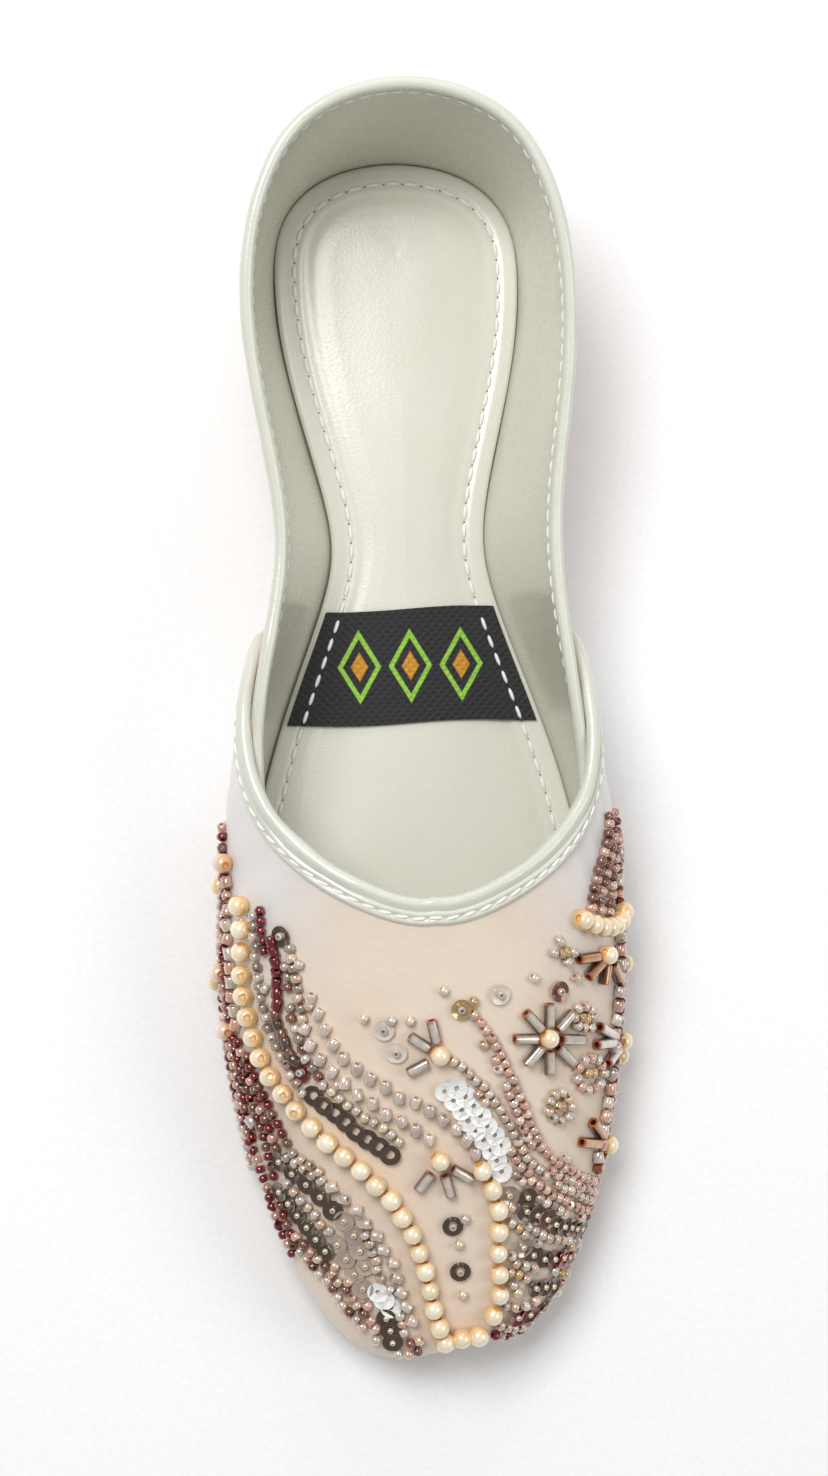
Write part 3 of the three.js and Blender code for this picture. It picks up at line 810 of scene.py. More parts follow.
@dataclass
class Layer:
    """A wall of the upper between two offsets from the last, zipped along the ridge."""

    last: Last
    edge: tuple[EdgeRow, ...]
    inside: Callable[[Array], Array]
    outside: Callable[[Array], Array]
    relief: Callable[[Array], Array]
    edge_columns: int
    ridge_columns: int
    rows: int
    ring: bool
    foot_rise: float = 0.0
    foot_lift: float = 0.0

    def stations(self, column: Array) -> Array:
        """Return where the wall's columns run, in the half up to the toe.

        Args:
            column: Their numbers.

        Returns:
            Foot section, top section and rise, a row a column.
        """
        rows = edge_stations(self.edge, np.minimum(column / self.edge_columns, 1))
        g = np.clip((column - self.edge_columns) / self.ridge_columns, 0, 1)
        start = self.edge[-1]
        toe = self.last.toe
        ridge = np.stack((lerp(start.foot, toe, g), lerp(start.top, toe, g), 1 + 0 * g), -1)
        return np.where((column > self.edge_columns)[:, None], ridge, rows)

    def grid(self) -> tuple[Array, Array, Array]:
        """Return u, t and the section counted from the heel at every point of the wall's grid."""
        half = self.edge_columns + self.ridge_columns
        c = np.arange(2 * half + 1)
        foot, top, rise = (v[:, None] for v in self.stations(np.minimum(c, 2 * half - c)).T)
        f = np.linspace(0, 1, self.rows + 1)
        section = lerp(foot, top, f)
        u = np.where((c <= half)[:, None], section, self.last.ring - section)
        return u, lerp(self.foot_rise, rise, f), section

    def shape(self) -> Shape:
        """Return the closed wall. Its inner faces have slot 0 and the others slot 1."""
        u, t, section = self.grid()
        added = self.relief(self.last.point(u, t))
        sides = []
        for offset in (self.inside(section), self.outside(section)):
            p = self.last.off(u, t, offset + added)
            p[:, 0, 2] = self.last.seat(p[:, 0, 1]) + self.foot_lift
            sides.append(p.reshape(-1, 3))
        columns, rows = u.shape
        n = columns * rows
        quads = grid_quads(columns, rows)
        edge = np.minimum(np.arange(columns - 1), np.arange(columns - 1)[::-1]) < self.edge_columns
        a = np.arange(columns - 1) * rows
        b = a + rows
        foot = np.stack((b + n, a + n, a, b), -1)
        top = np.stack((a + n, b + n, b, a), -1)[edge] + rows - 1
        parts = [quads[:, ::-1], quads + n, foot, top]
        if not self.ring:
            r = np.arange(rows - 1)
            end = (columns - 1) * rows
            parts.append(np.stack((r + n, r + 1 + n, r + 1, r), -1))
            parts.append(np.stack((r + 1 + n, r + n, r, r + 1), -1) + end)
        slots = np.concatenate([np.full(len(q), int(k > 0)) for k, q in enumerate(parts)])
        return Shape(np.vstack(sides), np.vstack(parts), slots).turned_out()


@dataclass
class EdgePath:
    """A path on the last along an edge, with moves of one millimetre ahead of the edge."""

    last: Last
    u: Array
    t: Array

    def __post_init__(self) -> None:
        """Work out, at each station, the change of u and t that moves a millimetre ahead."""
        h = SMALL_STEP
        p = self.last.point(self.u, self.t)
        along = np.gradient(p, axis=0)
        ahead = unit(np.cross(along, self.last.normal(self.u, self.t)))
        by_u = (self.last.point(self.u + h, self.t) - self.last.point(self.u - h, self.t)) / (2 * h)
        by_t = (self.last.point(self.u, self.t + h) - self.last.point(self.u, self.t - h)) / (2 * h)
        uu, ut, tt = ((x * y).sum(-1) for x, y in ((by_u, by_u), (by_u, by_t), (by_t, by_t)))
        au, at = ((ahead * x).sum(-1) for x in (by_u, by_t))
        det = uu * tt - ut * ut
        self.move_u = (tt * au - ut * at) / det
        self.move_t = (uu * at - ut * au) / det

    def at(self, ahead: Array, off: Array) -> Array:
        """Return points beside the edge.

        Args:
            ahead: Distances ahead of it, one row a station.
            off: Distances off the last.

        Returns:
            Points in millimetres, one row a station.
        """
        ahead, off = np.broadcast_arrays(ahead, off)
        return self.last.off(
            self.u[:, None] + ahead * self.move_u[:, None],
            self.t[:, None] + ahead * self.move_t[:, None],
            off,
        )

    def length(self) -> Array:
        """Return the distance along the path at each station, as a column."""
        return distance_along(self.last.point(self.u, self.t))[:, None]

    def stretch(self, ahead: Array, off: Array) -> Array:
        """Return a stretch of a profile at every station, as pairs of ahead and off."""
        stations = np.zeros((len(self.u), 1))
        return np.stack(np.broadcast_arrays(ahead + stations, off + stations), -1)

    def arc(self, start: float, centre: Array, angle: Array, radius: Array) -> Array:
        """Return an arc of a profile at every station, round a centre so far ahead and off."""
        return self.stretch(start + radius * np.sin(angle), centre - radius * np.cos(angle))

    def strip(self, lower: Array, upper: Array) -> Shape:
        """Return a closed strip swept along the path.

        Args:
            lower: The profile's lower side, stations by points by (ahead, off).
            upper: Its upper side, with as many points.

        Returns:
            The strip, capped at both ends.
        """
        profile = np.concatenate((lower, upper[:, ::-1]), axis=1)
        points = self.at(profile[..., 0], profile[..., 1])
        stations, size, _ = points.shape
        k = np.arange(size // 2 - 1)
        cap = np.stack((k, k + 1, size - 2 - k, size - 1 - k), -1)
        quads = np.vstack((
            grid_quads(stations, size, wrap=True)[:, ::-1],
            cap[:, ::-1],
            cap + (stations - 1) * size,
        ))
        return Shape(points.reshape(-1, 3), quads).turned_out()


def turned(profile: Array, sides: int) -> tuple[Array, Array]:
    """Return the closed surface that a closed profile sweeps round the x axis.

    Args:
        profile: Points as (distance along the axis, radius).
        sides: Number of steps round.

    Returns:
        Points and quads.
    """
    angle = np.linspace(0, 2 * np.pi, sides, endpoint=False)[:, None]
    x = np.broadcast_to(profile[:, 0], (sides, len(profile)))
    r = profile[:, 1]
    points = np.stack((x, r * np.cos(angle), r * np.sin(angle)), -1).reshape(-1, 3)
    c = np.arange(sides)[:, None]
    k = np.arange(len(profile))[None, :]
    size = len(profile)
    nxt = (c + 1) % sides
    after = (k + 1) % size
    quads = np.stack((c * size + k, nxt * size + k, nxt * size + after, c * size + after), -1)
    return points, quads.reshape(-1, 4)


def scatter(base: tuple[Array, Array], origins: Array, frames: Array, tints: Array | None = None) -> Shape:
    """Return copies of one small closed mesh, joined.

    Args:
        base: Its points and quads.
        origins: Where each copy's centre goes.
        frames: Each copy's axes as columns, their lengths its scale.
        tints: A colour for each copy, or for each point of each copy.

    Returns:
        The joined shape.
    """
    local, quads = base
    solid = Shape(local, quads).turned_out()
    points = origins[:, None, :] + np.einsum("nij,pj->npi", frames, local)
    count, size = points.shape[:2]
    numbered = solid.quads[None] + (np.arange(count) * size)[:, None, None]
    spread = None
    if tints is not None:
        full = tints if tints.ndim == 3 else np.repeat(tints[:, None], size, axis=1)
        spread = np.concatenate((full, np.ones((count, size, 1))), axis=-1).reshape(-1, 4)
    return Shape(points.reshape(-1, 3), numbered.reshape(-1, 4), tints=spread)


def frames_along(tangents: Array, normals: Array) -> Array:
    """Return axes as columns: along the tangent, across it, and near the normal."""
    x = unit(tangents)
    y = unit(np.cross(normals, x))
    return np.stack((x, y, np.cross(x, y)), -1)


class Stitch(NamedTuple):
    """A stitch: the distance to the next, the length of thread that shows, the thread's thickness,
    how far its middle stands up, and its turn to the row in radians."""

    pitch: float
    length: float
    width: float
    height: float
    slant: float = 0.0

    def thread(self) -> tuple[Array, Array]:
        """Return the points and quads of one stitch along x: a round thread, thin towards its ends
        as the root of one less the fourth power of the place, and raised by a parabola, so that
        its ends dip into the leather."""
        stations, sides = 7, 6
        f = np.linspace(-1, 1, stations)
        angle = np.linspace(0, 2 * np.pi, sides, endpoint=False)
        radius = 0.5 * self.width * np.sqrt(np.clip(1 - f**4, 0.02, 1))[:, None]
        y = radius * np.cos(angle)
        z = radius * np.sin(angle) + self.height * (1 - f**2)[:, None]
        x = np.broadcast_to(0.5 * self.length * f[:, None], y.shape)
        end = np.array(((0, 1, 2, 3), (0, 3, 4, 5)))
        far_end = end[:, ::-1] + (stations - 1) * sides
        quads = np.vstack((grid_quads(stations, sides, wrap=True), end, far_end))
        return np.stack((x, y, z), -1).reshape(-1, 3), quads


def stitch_row(path: EdgePath, ahead: float, off: Callable[[Array], Array], stitch: Stitch) -> Shape:
    """Return a row of stitches beside an edge.

    Args:
        path: The edge's path.
        ahead: Distance ahead of the edge.
        off: Height off the last for a section.
        stitch: The stitch that is repeated.

    Returns:
        The joined stitches.
    """
    height = off(path.last.from_heel(np.where(path.t > 1, path.last.ring - path.u, path.u)))
    line = path.at(np.full((len(path.u), 1), ahead), height[:, None])[:, 0]
    step = distance_along(line)
    places = np.arange(stitch.pitch, step[-1] - stitch.pitch / 2, stitch.pitch)
    tangents = rows_at(places, step, np.gradient(line, step, axis=0))
    normals = rows_at(places, step, path.last.normal(path.u, path.t))
    turn = np.array(Matrix.Rotation(stitch.slant, 3, "Z"))
    frames = frames_along(tangents, normals) @ turn
    return scatter(stitch.thread(), rows_at(places, step, line), frames)


def puckers(p: Array) -> Array:
    """Return the soft pulls of the satin, in millimetres: long low waves that fan out from the
    throat over both shoulders, a few short ones on the outer flank, none at the toe."""
    x, y, _ = np.moveaxis(p, -1, 0)
    fan = np.arctan2(x, -(y - 10))
    near = smooth(-y, -5, 12) * (1 - smooth(-y, 40, 75))
    waves = 0.14 * np.sin(17 * fan + 0.03 * y) + 0.08 * np.sin(31 * fan - 0.05 * y + 1.3)
    flank = bump(x, 32, 7) * bump(y, -18, 15) * 0.22 * np.sin(1.3 * x + 0.8 * y)
    return near * waves * smooth(np.abs(x), 6, 22) + flank


@dataclass
class Upper:
    """The quarters with their lining, the vamp and the two bindings. A roll's size is its radius, a
    skirt's, a flange's and a turn-in's how far back from the edge it reaches."""

    last: Last
    maker: Maker
    wall: float = 1.8
    collar_roll: float = 1.3
    collar_skirt: float = 1.9
    collar_stitch: Stitch = Stitch(3.2, 2.5, 0.5, -0.16, 0.06)
    throat_roll: float = 1.4
    throat_turn_in: float = 2.6
    throat_flange: float = 3.1
    throat_stitch: Stitch = Stitch(3.3, 2.6, 0.62, 0.14, 0.14)
    lining: Finish = Leather("lining_glossed_leather", (0.66, 0.65, 0.55), 0.27, coat=0.45,
                             coat_roughness=0.22, grain=1400, depth=0.00003, rolls=38,
                             shade=(0.69, 0.68, 0.585))
    outer: Finish = Leather("quarter_blush_leather", (0.74, 0.6, 0.55), 0.42, coat=0.1, grain=1600, rolls=45,
                            depth=0.00005, shade=(0.66, 0.47, 0.43))
    satin: Finish = Satin("vamp_blush_satin", (0.8, 0.655, 0.52), 0.36, sheen=0.2)
    bound: Finish = Leather("binding_sage_leather", (0.68, 0.69, 0.6), 0.26, coat=0.6, coat_roughness=0.14,
                            grain=1500, depth=0.00005, rolls=140, shade=(0.58, 0.59, 0.5))
    thread: Finish = Finish("binding_thread", (0.93, 0.93, 0.88), 0.5)

    def vamp_inside(self, section: Array) -> Array:
        """Return how far the vamp's inner face is off the last."""
        return 2.1 - 1.2 * smooth(section, 10.2, 10.7)

    def vamp_outside(self, section: Array) -> Array:
        """Return how far the vamp's outer face is off the last."""
        return 3.7 - 0.9 * smooth(section, 10, 11.4)

    def hand(self, p: Array) -> Array:
        """Return the slow waves of a wall shaped by hand, along the quarters and up them."""
        _, y, z = np.moveaxis(p, -1, 0)
        return 0.12 * np.sin(0.21 * y + 2) * smooth(y, 5, 30) * np.sin(z / 9)

    def quarters(self) -> None:
        """Make the quarters, which run all round and line the vamp."""
        layer = Layer(self.last, QUARTER_EDGE, lambda s: 0 * s, lambda s: self.wall + 0 * s, self.hand,
                      edge_columns=220, ridge_columns=60, rows=36, ring=True)
        finishes = [self.lining.material(), self.outer.material()]
        self.maker.piece("quarters_and_lining", layer.shape(), finishes, "upper", ("upper",))

    def vamp(self) -> None:
        """Make the satin vamp."""
        layer = Layer(self.last, VAMP_EDGE, self.vamp_inside, self.vamp_outside, puckers,
                      edge_columns=130, ridge_columns=110, rows=72, ring=False,
                      foot_rise=VAMP_FOOT_RISE, foot_lift=0.6)
        finishes = [self.lining.material(), self.satin.material()]
        self.maker.piece("satin_vamp", layer.shape(), finishes, "upper", ("upper",))

    def collar_path(self) -> EdgePath:
        """Return the path along the collar's edge, from throat corner to throat corner."""
        half = edge_stations(QUARTER_EDGE, np.linspace(0, 10.5, 320) / (len(QUARTER_EDGE) - 1))[:, 1:]
        both = np.vstack((half[:0:-1] * (-1, 1), half))
        return EdgePath(self.last, both[:, 0], both[:, 1])

    def vamp_path(self) -> EdgePath:
        """Return the path along the vamp's edge, up its outer end, over the throat and down."""
        start = VAMP_EDGE[0]
        f = np.linspace(0.1, 1, 40, endpoint=False)
        rear = np.stack((lerp(start.foot, start.top, f), lerp(VAMP_FOOT_RISE, start.rise, f)), -1)
        half = np.vstack((rear, edge_stations(VAMP_EDGE, np.linspace(0, 1, 150))[:, 1:]))
        back = half[-2::-1] * (1, -1) + (0, 2)
        both = np.vstack((half, back))
        return EdgePath(self.last, both[:, 0], both[:, 1])

    def collar_binding(self) -> None:
        """Make the rolled strip on the collar: an arc round its edge, with a skirt on each face. It
        is slimmer beside the vamp and tucked in under it."""
        path = self.collar_path()
        s = path.length()
        u = np.abs(path.u)[:, None]
        slim = smooth(u, 8.3, 9.2)
        tucked = smooth(u, 9.9, 10.6)
        angle = np.linspace(-0.5, np.pi + 0.5, 19)
        wobble = 0.04 * np.sin(s / 5.1) + 0.03 * np.sin(s / 1.9)
        radius = self.collar_roll - 0.18 * slim - 0.65 * tucked + wobble
        centre = 0.9 - 0.2 * slim
        skirt = np.linspace(-self.collar_skirt, -0.35, 6)
        lower = np.concatenate((
            path.stretch(skirt, -0.02),
            path.arc(0.4, centre, angle, 0.6 * radius),
            path.stretch(skirt[::-1], self.wall + 0.02),
        ), axis=1)
        upper = np.concatenate((
            path.stretch(skirt, -0.3 + 0.1 * bump(skirt, -1.15, 0.35)),
            path.arc(0.55, centre, angle, radius),
            path.stretch(skirt[::-1], self.wall + 0.25 - 0.15 * slim),
        ), axis=1)
        self.maker.piece("collar_roll", path.strip(lower, upper), [self.bound.material()], "binding",
                         ("collar_binding",), sharp=60)
        row = stitch_row(path, -1.15, lambda section: -0.26 + 0 * section, self.collar_stitch)
        self.maker.piece("collar_stitches", row, [self.thread.material()], "binding")

    def vamp_binding(self) -> None:
        """Make the strip folded over the vamp's edge, and the stitches along its flange, which has a
        trough beside the roll and another along the stitches."""
        path = self.vamp_path()
        s = path.length()
        section = self.last.from_heel(path.u)[:, None]
        low = self.vamp_inside(section)
        high = self.vamp_outside(section)
        twist = bump(s, 0.62 * s.max(), 14) * np.sin(s / 2.3)
        angle = np.linspace(-0.2, np.pi + 0.1, 15)
        radius = self.throat_roll + 0.05 * np.sin(s / 4.3) + 0.04 * np.sin(s / 1.7) + 0.1 * twist
        centre = (low + high) / 2 + 0.35
        inner = np.linspace(-self.throat_turn_in, -0.2, 5)
        flange = np.linspace(-0.2, -self.throat_flange, 14)
        wobble = (0.06 * np.sin(s / 2.6) + 0.18 * twist) * bump(flange, -1.2, 0.8)
        troughs = 0.4 * bump(flange, -0.35, 0.3) + 0.32 * bump(flange, -1.75, 0.4)
        crown = 0.8 - troughs - 0.3 * smooth(-flange, self.throat_flange - 0.5, self.throat_flange)
        lower = np.concatenate((
            path.stretch(inner, low - 0.02),
            path.arc(0.6, centre, angle, 0.6 * radius),
            path.stretch(flange, high + 0.06),
        ), axis=1)
        upper = np.concatenate((
            path.stretch(inner, low - 0.4),
            path.arc(0.85, centre, angle, radius),
            path.stretch(flange, high + crown + wobble),
        ), axis=1)
        self.maker.piece("throat_roll_and_flange", path.strip(lower, upper), [self.bound.material()],
                         "binding", ("vamp_binding",), sharp=60)
        row = stitch_row(path, -1.75, lambda sec: self.vamp_outside(sec) + 0.56, self.throat_stitch)
        self.maker.piece("throat_stitches", row, [self.thread.material()], "binding")

    def build(self) -> None:
        """Make every piece of the upper."""
        self.quarters()
        self.vamp()
        self.collar_binding()
        self.vamp_binding()


Height = Callable[[Array, Array, Array], Array]
DEEPEST_INSET = 9.0
MIDDLE_LINE = DEEPEST_INSET + 1


@dataclass
class Slab:
    """A flat piece in rings: from the middle line underneath, out round the edge and back on top.
    The middle line runs from back to front, and beyond them it is squeezed."""

    last: Last
    columns: int
    back: float = 94.0
    front: float = -98.0
    squeeze: float = 0.2

    def middle(self, y: Array) -> Array:
        """Return where the middle line lies for an edge point at y."""
        past = np.where(y > self.back, self.back, self.front)
        return np.where((y > self.back) | (y < self.front), lerp(past, y, self.squeeze), y)

    def shape(self, margin: Callable[[Array], Array], rings: list[tuple[float, Height]]) -> Shape:
        """Return the closed slab.

        Args:
            margin: Distance of its edge out from the wall's foot, for sections from the heel.
            rings: For each ring its inset from the edge (past the deepest inset, what is over it is
                a share of the way on to the middle line) and its height for (x, y, inset).

        Returns:
            The slab, its first and last ring on the middle line.
        """
        u = np.arange(self.columns + 1) * self.last.ring / self.columns
        edge = self.last.outline(u, margin(self.last.from_heel(u)))
        middle = np.stack((0 * u, self.middle(edge[:, 1])), -1)
        width = np.linalg.norm(edge - middle, axis=1)
        points = []
        for inset, height in rings:
            share = max(inset - DEEPEST_INSET, 0)
            reach = lerp(min(inset, DEEPEST_INSET) + 0 * width, width, share)
            plan = lerp(edge, middle, (reach / width)[:, None])
            z = height(plan[:, 0], plan[:, 1], reach)
            points.append(np.column_stack((plan, z)))
        grid = np.stack(points, axis=1)
        return Shape(grid.reshape(-1, 3), grid_quads(len(u), len(rings))).turned_out()


@dataclass
class Bottom:
    """The outsole and the heel lift. The outsole's lower and upper edges are rounded, a fine line
    runs round its edge, and a channel for its stitches is cut underneath, so far in."""

    last: Last
    maker: Maker
    lower_round: float = 0.7
    upper_round: float = 0.6
    edge_line: float = 0.12
    channel: float = 3.6
    channel_depth: float = 0.35
    sole: Finish = Leather("sole_leather", (0.42, 0.27, 0.16), 0.55, grain=900, depth=0.00012, rolls=70,
                           shade=(0.3, 0.18, 0.1))
    stack: Finish = StackedLeather("lift_leather", (0.3, 0.17, 0.09), 0.5)

    def margin(self, section: Array) -> Array:
        """Return how far the sole's edge stands out from the wall's foot."""
        waist = lerp(2.2, 3.6, smooth(section, 4, 7))
        return lerp(waist, 3.2, smooth(section, 7.5, 9.5))

    def build(self) -> None:
        """Make the outsole and dress the lift."""
        under = self.last.sole_under
        thick = self.last.sole_thickness

        def level(rise: float) -> Height:
            """Return the height of a ring so far above the underside."""
            return lambda x, y, r: under(y) + rise

        def cut(x: Array, y: Array, r: Array) -> Array:
            """Return the height of the underside with the channel in it."""
            return under(y) + self.channel_depth * bump(r, self.channel, 0.3)

        rings = [(MIDDLE_LINE, level(0)), (DEEPEST_INSET, level(0))]
        rings += [(inset, cut) for inset in (4.2, 3.8, 3.4, 3.0, 0.9)]
        quarter_turn = np.linspace(0, np.pi / 2, 5)
        for angle in quarter_turn:
            rise = self.lower_round * (1 - math.cos(angle))
            rings.append((self.lower_round * (1 - math.sin(angle)), level(rise)))
        for inset, share in ((0.0, 0.45), (self.edge_line, 0.5), (0.0, 0.55)):
            rings.append((inset, level(share * thick)))
        for angle in quarter_turn:
            drop = self.upper_round * (1 - math.sin(angle))
            rings.append((self.upper_round * (1 - math.cos(angle)), level(thick - drop)))
        rings += [(DEEPEST_INSET, level(thick)), (MIDDLE_LINE, level(thick))]
        shape = Slab(self.last, 420).shape(self.margin, rings)
        self.maker.piece("outsole_leather", shape, [self.sole.material()], "outsole", ("outsole",))
        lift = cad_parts["heel_lift"]
        lift.data.materials.clear()
        lift.data.materials.append(self.stack.material())


HOLE_PROFILE = np.array(((-0.2, 0.02), (0.05, 0.02), (0.05, 0.2), (0.0, 0.3), (-0.2, 0.22)))


@dataclass
class Footbed:
    """The padded insole with its sewn band, the threads, and the label across it. Heights count
    from the seat, insets from the insole's edge, and the label lies between two places in y."""

    last: Last
    maker: Maker
    clearance: float = 0.15
    band: float = 2.2
    pad: float = 0.9
    seam: float = 3.7
    seam_stitch: Stitch = Stitch(3.9, 2.8, 0.74, 0.1)
    thread_over_label: float = 0.75
    label_back: float = 27.3
    label_front: float = 4.1
    label_inset: float = 0.7
    label_gap: float = 0.3
    label_thickness: float = 0.5
    sock: Finish = Leather("footbed_leather", (0.73, 0.72, 0.63), 0.3, coat=0.4, coat_roughness=0.22,
                           grain=1500, depth=0.00004, rolls=70, shade=(0.76, 0.75, 0.68))
    thread: Finish = Finish("footbed_thread", (0.94, 0.94, 0.9), 0.5)
    # Painted shade: a dark finish for the plugs set in the needle holes.
    hole_shade: Finish = Finish("needle_hole_shade", (0.3, 0.27, 0.22), 0.8)
    ribbon: Finish = WovenLabel("label_ribbon", (0.012, 0.012, 0.014), 0.75, sheen=0.2)

    def top(self, x: Array, y: Array, inset: Array) -> Array:
        """Return the insole's top: a band, a groove along its seam, a soft step and a crown."""
        step = smooth(inset, 5.6, 9.6)
        crown = 0.35 * smooth(inset, 8, 22)
        groove = 0.3 * bump(inset, self.seam, 0.7)
        crease = 0.12 * bump(inset, 9.2, 1.1)
        return self.last.seat(y) + self.band + (self.pad - 0.25) * step + crown - groove - crease

    def insole(self) -> None:
        """Make the insole, which stands out a little above its foot and is round at its top edge."""

        def level(rise: float) -> Height:
            """Return the height of a ring so far above the seat."""
            return lambda x, y, r: self.last.seat(y) + rise

        rings = [(MIDDLE_LINE, level(0)), (DEEPEST_INSET, level(0)), (0.4, level(0)), (0.0, level(0.4))]
        for inset in (-0.3, -0.15, 0.15, 0.5):
            drop = 0.5 * ((0.5 - inset) / 0.8) ** 2
            rings.append((inset, level(self.band - drop)))
        near_edge = np.arange(1.2, DEEPEST_INSET, 0.3)
        to_middle = DEEPEST_INSET + np.linspace(0.02, 1, 20)
        rings += [(float(inset), self.top) for inset in (*near_edge, *to_middle)]
        shape = Slab(self.last, 480).shape(lambda s: -self.clearance + 0 * s, rings)
        made = self.maker.piece("padded_insole", shape, [self.sock.material()], "insole", ("insole",))

    def seam_line(self) -> Array:
        """Return points close together on the seam, all round the insole's top."""
        u = np.linspace(0, self.last.ring, 1600)
        plan = self.last.outline(u, np.full_like(u, -self.clearance - self.seam))
        z = self.top(plan[:, 0], plan[:, 1], np.full_like(u, self.seam))
        return np.column_stack((plan, z))

    def seam_stitches(self) -> None:
        """Make the threads of the seam and, between them, dark plugs that paint the shade in the needle
        holes.
        """
        line = self.seam_line()
        step = distance_along(line)
        count = round(step[-1] / self.seam_stitch.pitch)
        pitch = step[-1] / count
        up = np.array((0.0, 0.0, 1.0))
        for name, start, base, lift, finish in (
            ("insole_threads", 0.0, self.seam_stitch.thread(), 0.2, self.thread),
            # Dark plugs of painted shade in the needle holes.
            ("insole_needle_holes", 0.5, turned(HOLE_PROFILE, 8), 0.0, self.hole_shade),
        ):
            places = (np.arange(count) + start) * pitch
            origins = rows_at(places, step, line)
            tangent = rows_at(places, step, np.gradient(line, step, axis=0))
            frames = frames_along(tangent, up + 0 * tangent)
            on_label = (origins[:, 1] < self.label_back) & (origins[:, 1] > self.label_front)
            origins[:, 2] += lift + self.thread_over_label * on_label
            if finish is self.hole_shade:
                frames = frames[~on_label][:, :, (2, 0, 1)]
                origins = origins[~on_label]
            self.maker.piece(name, scatter(base, origins, frames), [finish.material()], "insole")

    def label(self) -> None:
        """Make the ribbon across the footbed, a thin wall that drops over the padded step."""
        rows = 28
        columns = 90
        y = np.linspace(self.label_back, self.label_front, rows)
        u = np.linspace(4.5, 11, 400)
        margin = np.full_like(u, -self.clearance - self.label_inset)
        outer = self.last.outline(u, margin)
        inner = self.last.outline(self.last.ring - u, margin)
        right = np.interp(-y, -outer[:, 1], outer[:, 0])
        left = np.interp(-y, -inner[:, 1], inner[:, 0])
        f = np.linspace(0, 1, columns)
        x = lerp(left[:, None], right[:, None], f)
        yy = np.broadcast_to(y[:, None], x.shape) + 0.35 * np.sin(x / 6.5)
        inset = np.minimum(x - left[:, None], right[:, None] - x) + self.label_inset
        z = self.last.seat(yy) + self.band + self.label_gap + self.pad * smooth(inset, 5, 8)
        sink = 0.16 * bump(inset, self.seam, 0.5)
        top = np.stack((x, yy, z + self.label_thickness - sink), -1)
        under = np.stack((x, yy, z), -1)
        n = rows * columns
        quads = grid_quads(rows, columns)
        r = np.arange(rows - 1) * columns
        c = np.arange(columns - 1)
        far = (rows - 1) * columns
        sides = np.vstack((
            np.stack((r + columns + n, r + n, r, r + columns), -1),
            np.stack((r + n, r + columns + n, r + columns, r), -1) + columns - 1,
            np.stack((c + n, c + 1 + n, c + 1, c), -1),
            np.stack((c + 1 + n, c + n, c, c + 1), -1) + far,
        ))
        shape = Shape(np.vstack((under.reshape(-1, 3), top.reshape(-1, 3))),
                      np.vstack((quads[:, ::-1], quads + n, sides))).turned_out()
        self.maker.piece("woven_label", shape, [self.ribbon.material()], "label", ("footbed_label",))

    def build(self) -> None:
        """Make every piece of the footbed."""
        self.insole()
        self.seam_stitches()
        self.label()


class Lamp(NamedTuple):
    """A square soft light aimed at the shoe: its place and its side in metres, and its power."""

    name: str
    place: Triple
    side: float
    power: float


LAMPS = (
    Lamp("key", (-0.3, 0.35, 0.9), 0.45, 7.2),
    Lamp("fill", (0.7, -0.1, 0.7), 0.5, 2.0),
    Lamp("back", (0.1, 0.8, 0.5), 0.5, 1.2),
)


@dataclass
class Studio:
    """The pale floor, the soft lights and the camera of the photograph, which stands over its
    nadir. The lens is such that a length beside the aim fills a share of the picture's height."""

    nadir: Place = (-45.4535, -17.6496)
    height: float = 560.0
    roll: float = 0.0375
    aim: Triple = (-1.0, 0.5, 24.0)
    length: float = 251.5
    fill: float = 0.86
    sensor: float = 24.0
    sky: float = 0.34
    floor_half: float = 3.0

    def floor(self) -> None:
        """Make the floor, which isn't part of the shoe."""
        mesh = bpy.data.meshes.new("studio_floor")
        h = self.floor_half
        mesh.from_pydata([(-h, -h, 0), (h, -h, 0), (h, h, 0), (-h, h, 0)], [], [(0, 1, 2, 3)])
        made = bpy.data.objects.new("studio_floor", mesh)
        bpy.context.scene.collection.objects.link(made)
        mesh.materials.append(Finish("studio_paper", (0.98, 0.98, 0.98), 0.9, specular=0.1).material())

    def light(self, lamp: Lamp) -> None:
        """Add a lamp."""
        data = bpy.data.lights.new(lamp.name, "AREA")
        data.size = lamp.side
        data.energy = lamp.power
        made = bpy.data.objects.new(lamp.name, data)
        bpy.context.scene.collection.objects.link(made)
        made.location = lamp.place
        made.rotation_euler = (-Vector(lamp.place)).to_track_quat("-Z", "Y").to_euler()

    def camera(self) -> None:
        """Place the camera where the photograph was taken, looking at the middle of the shoe."""
        data = bpy.data.cameras.new("camera")
        made = bpy.data.objects.new("camera", data)
        bpy.context.scene.collection.objects.link(made)
        eye = Vector((*self.nadir, self.height)) * MM
        look = Vector(self.aim) * MM - eye
        back = -look.normalized()
        up = Vector((self.roll, 1, 0)).normalized()
        right = up.cross(back).normalized()
        true_up = back.cross(right)
        turn = Matrix((right, true_up, back)).transposed()
        made.matrix_world = Matrix.Translation(eye) @ turn.to_4x4()
        data.sensor_fit = "VERTICAL"
        data.sensor_height = self.sensor
        data.lens = self.fill * self.sensor * look.length / (self.length * MM)
        bpy.context.scene.camera = made

    def build(self) -> None:
        """Set up floor, world, lights and camera."""
        self.floor()
        world = bpy.data.worlds.new("studio")
        world.use_nodes = True
        sky = world.node_tree.nodes["Background"].inputs
        sky["Color"].default_value = (1, 1, 1, 1)
        sky["Strength"].default_value = self.sky
        bpy.context.scene.world = world
        bpy.context.scene.view_settings.view_transform = "Standard"
        for lamp in LAMPS:
            self.light(lamp)
        self.camera()


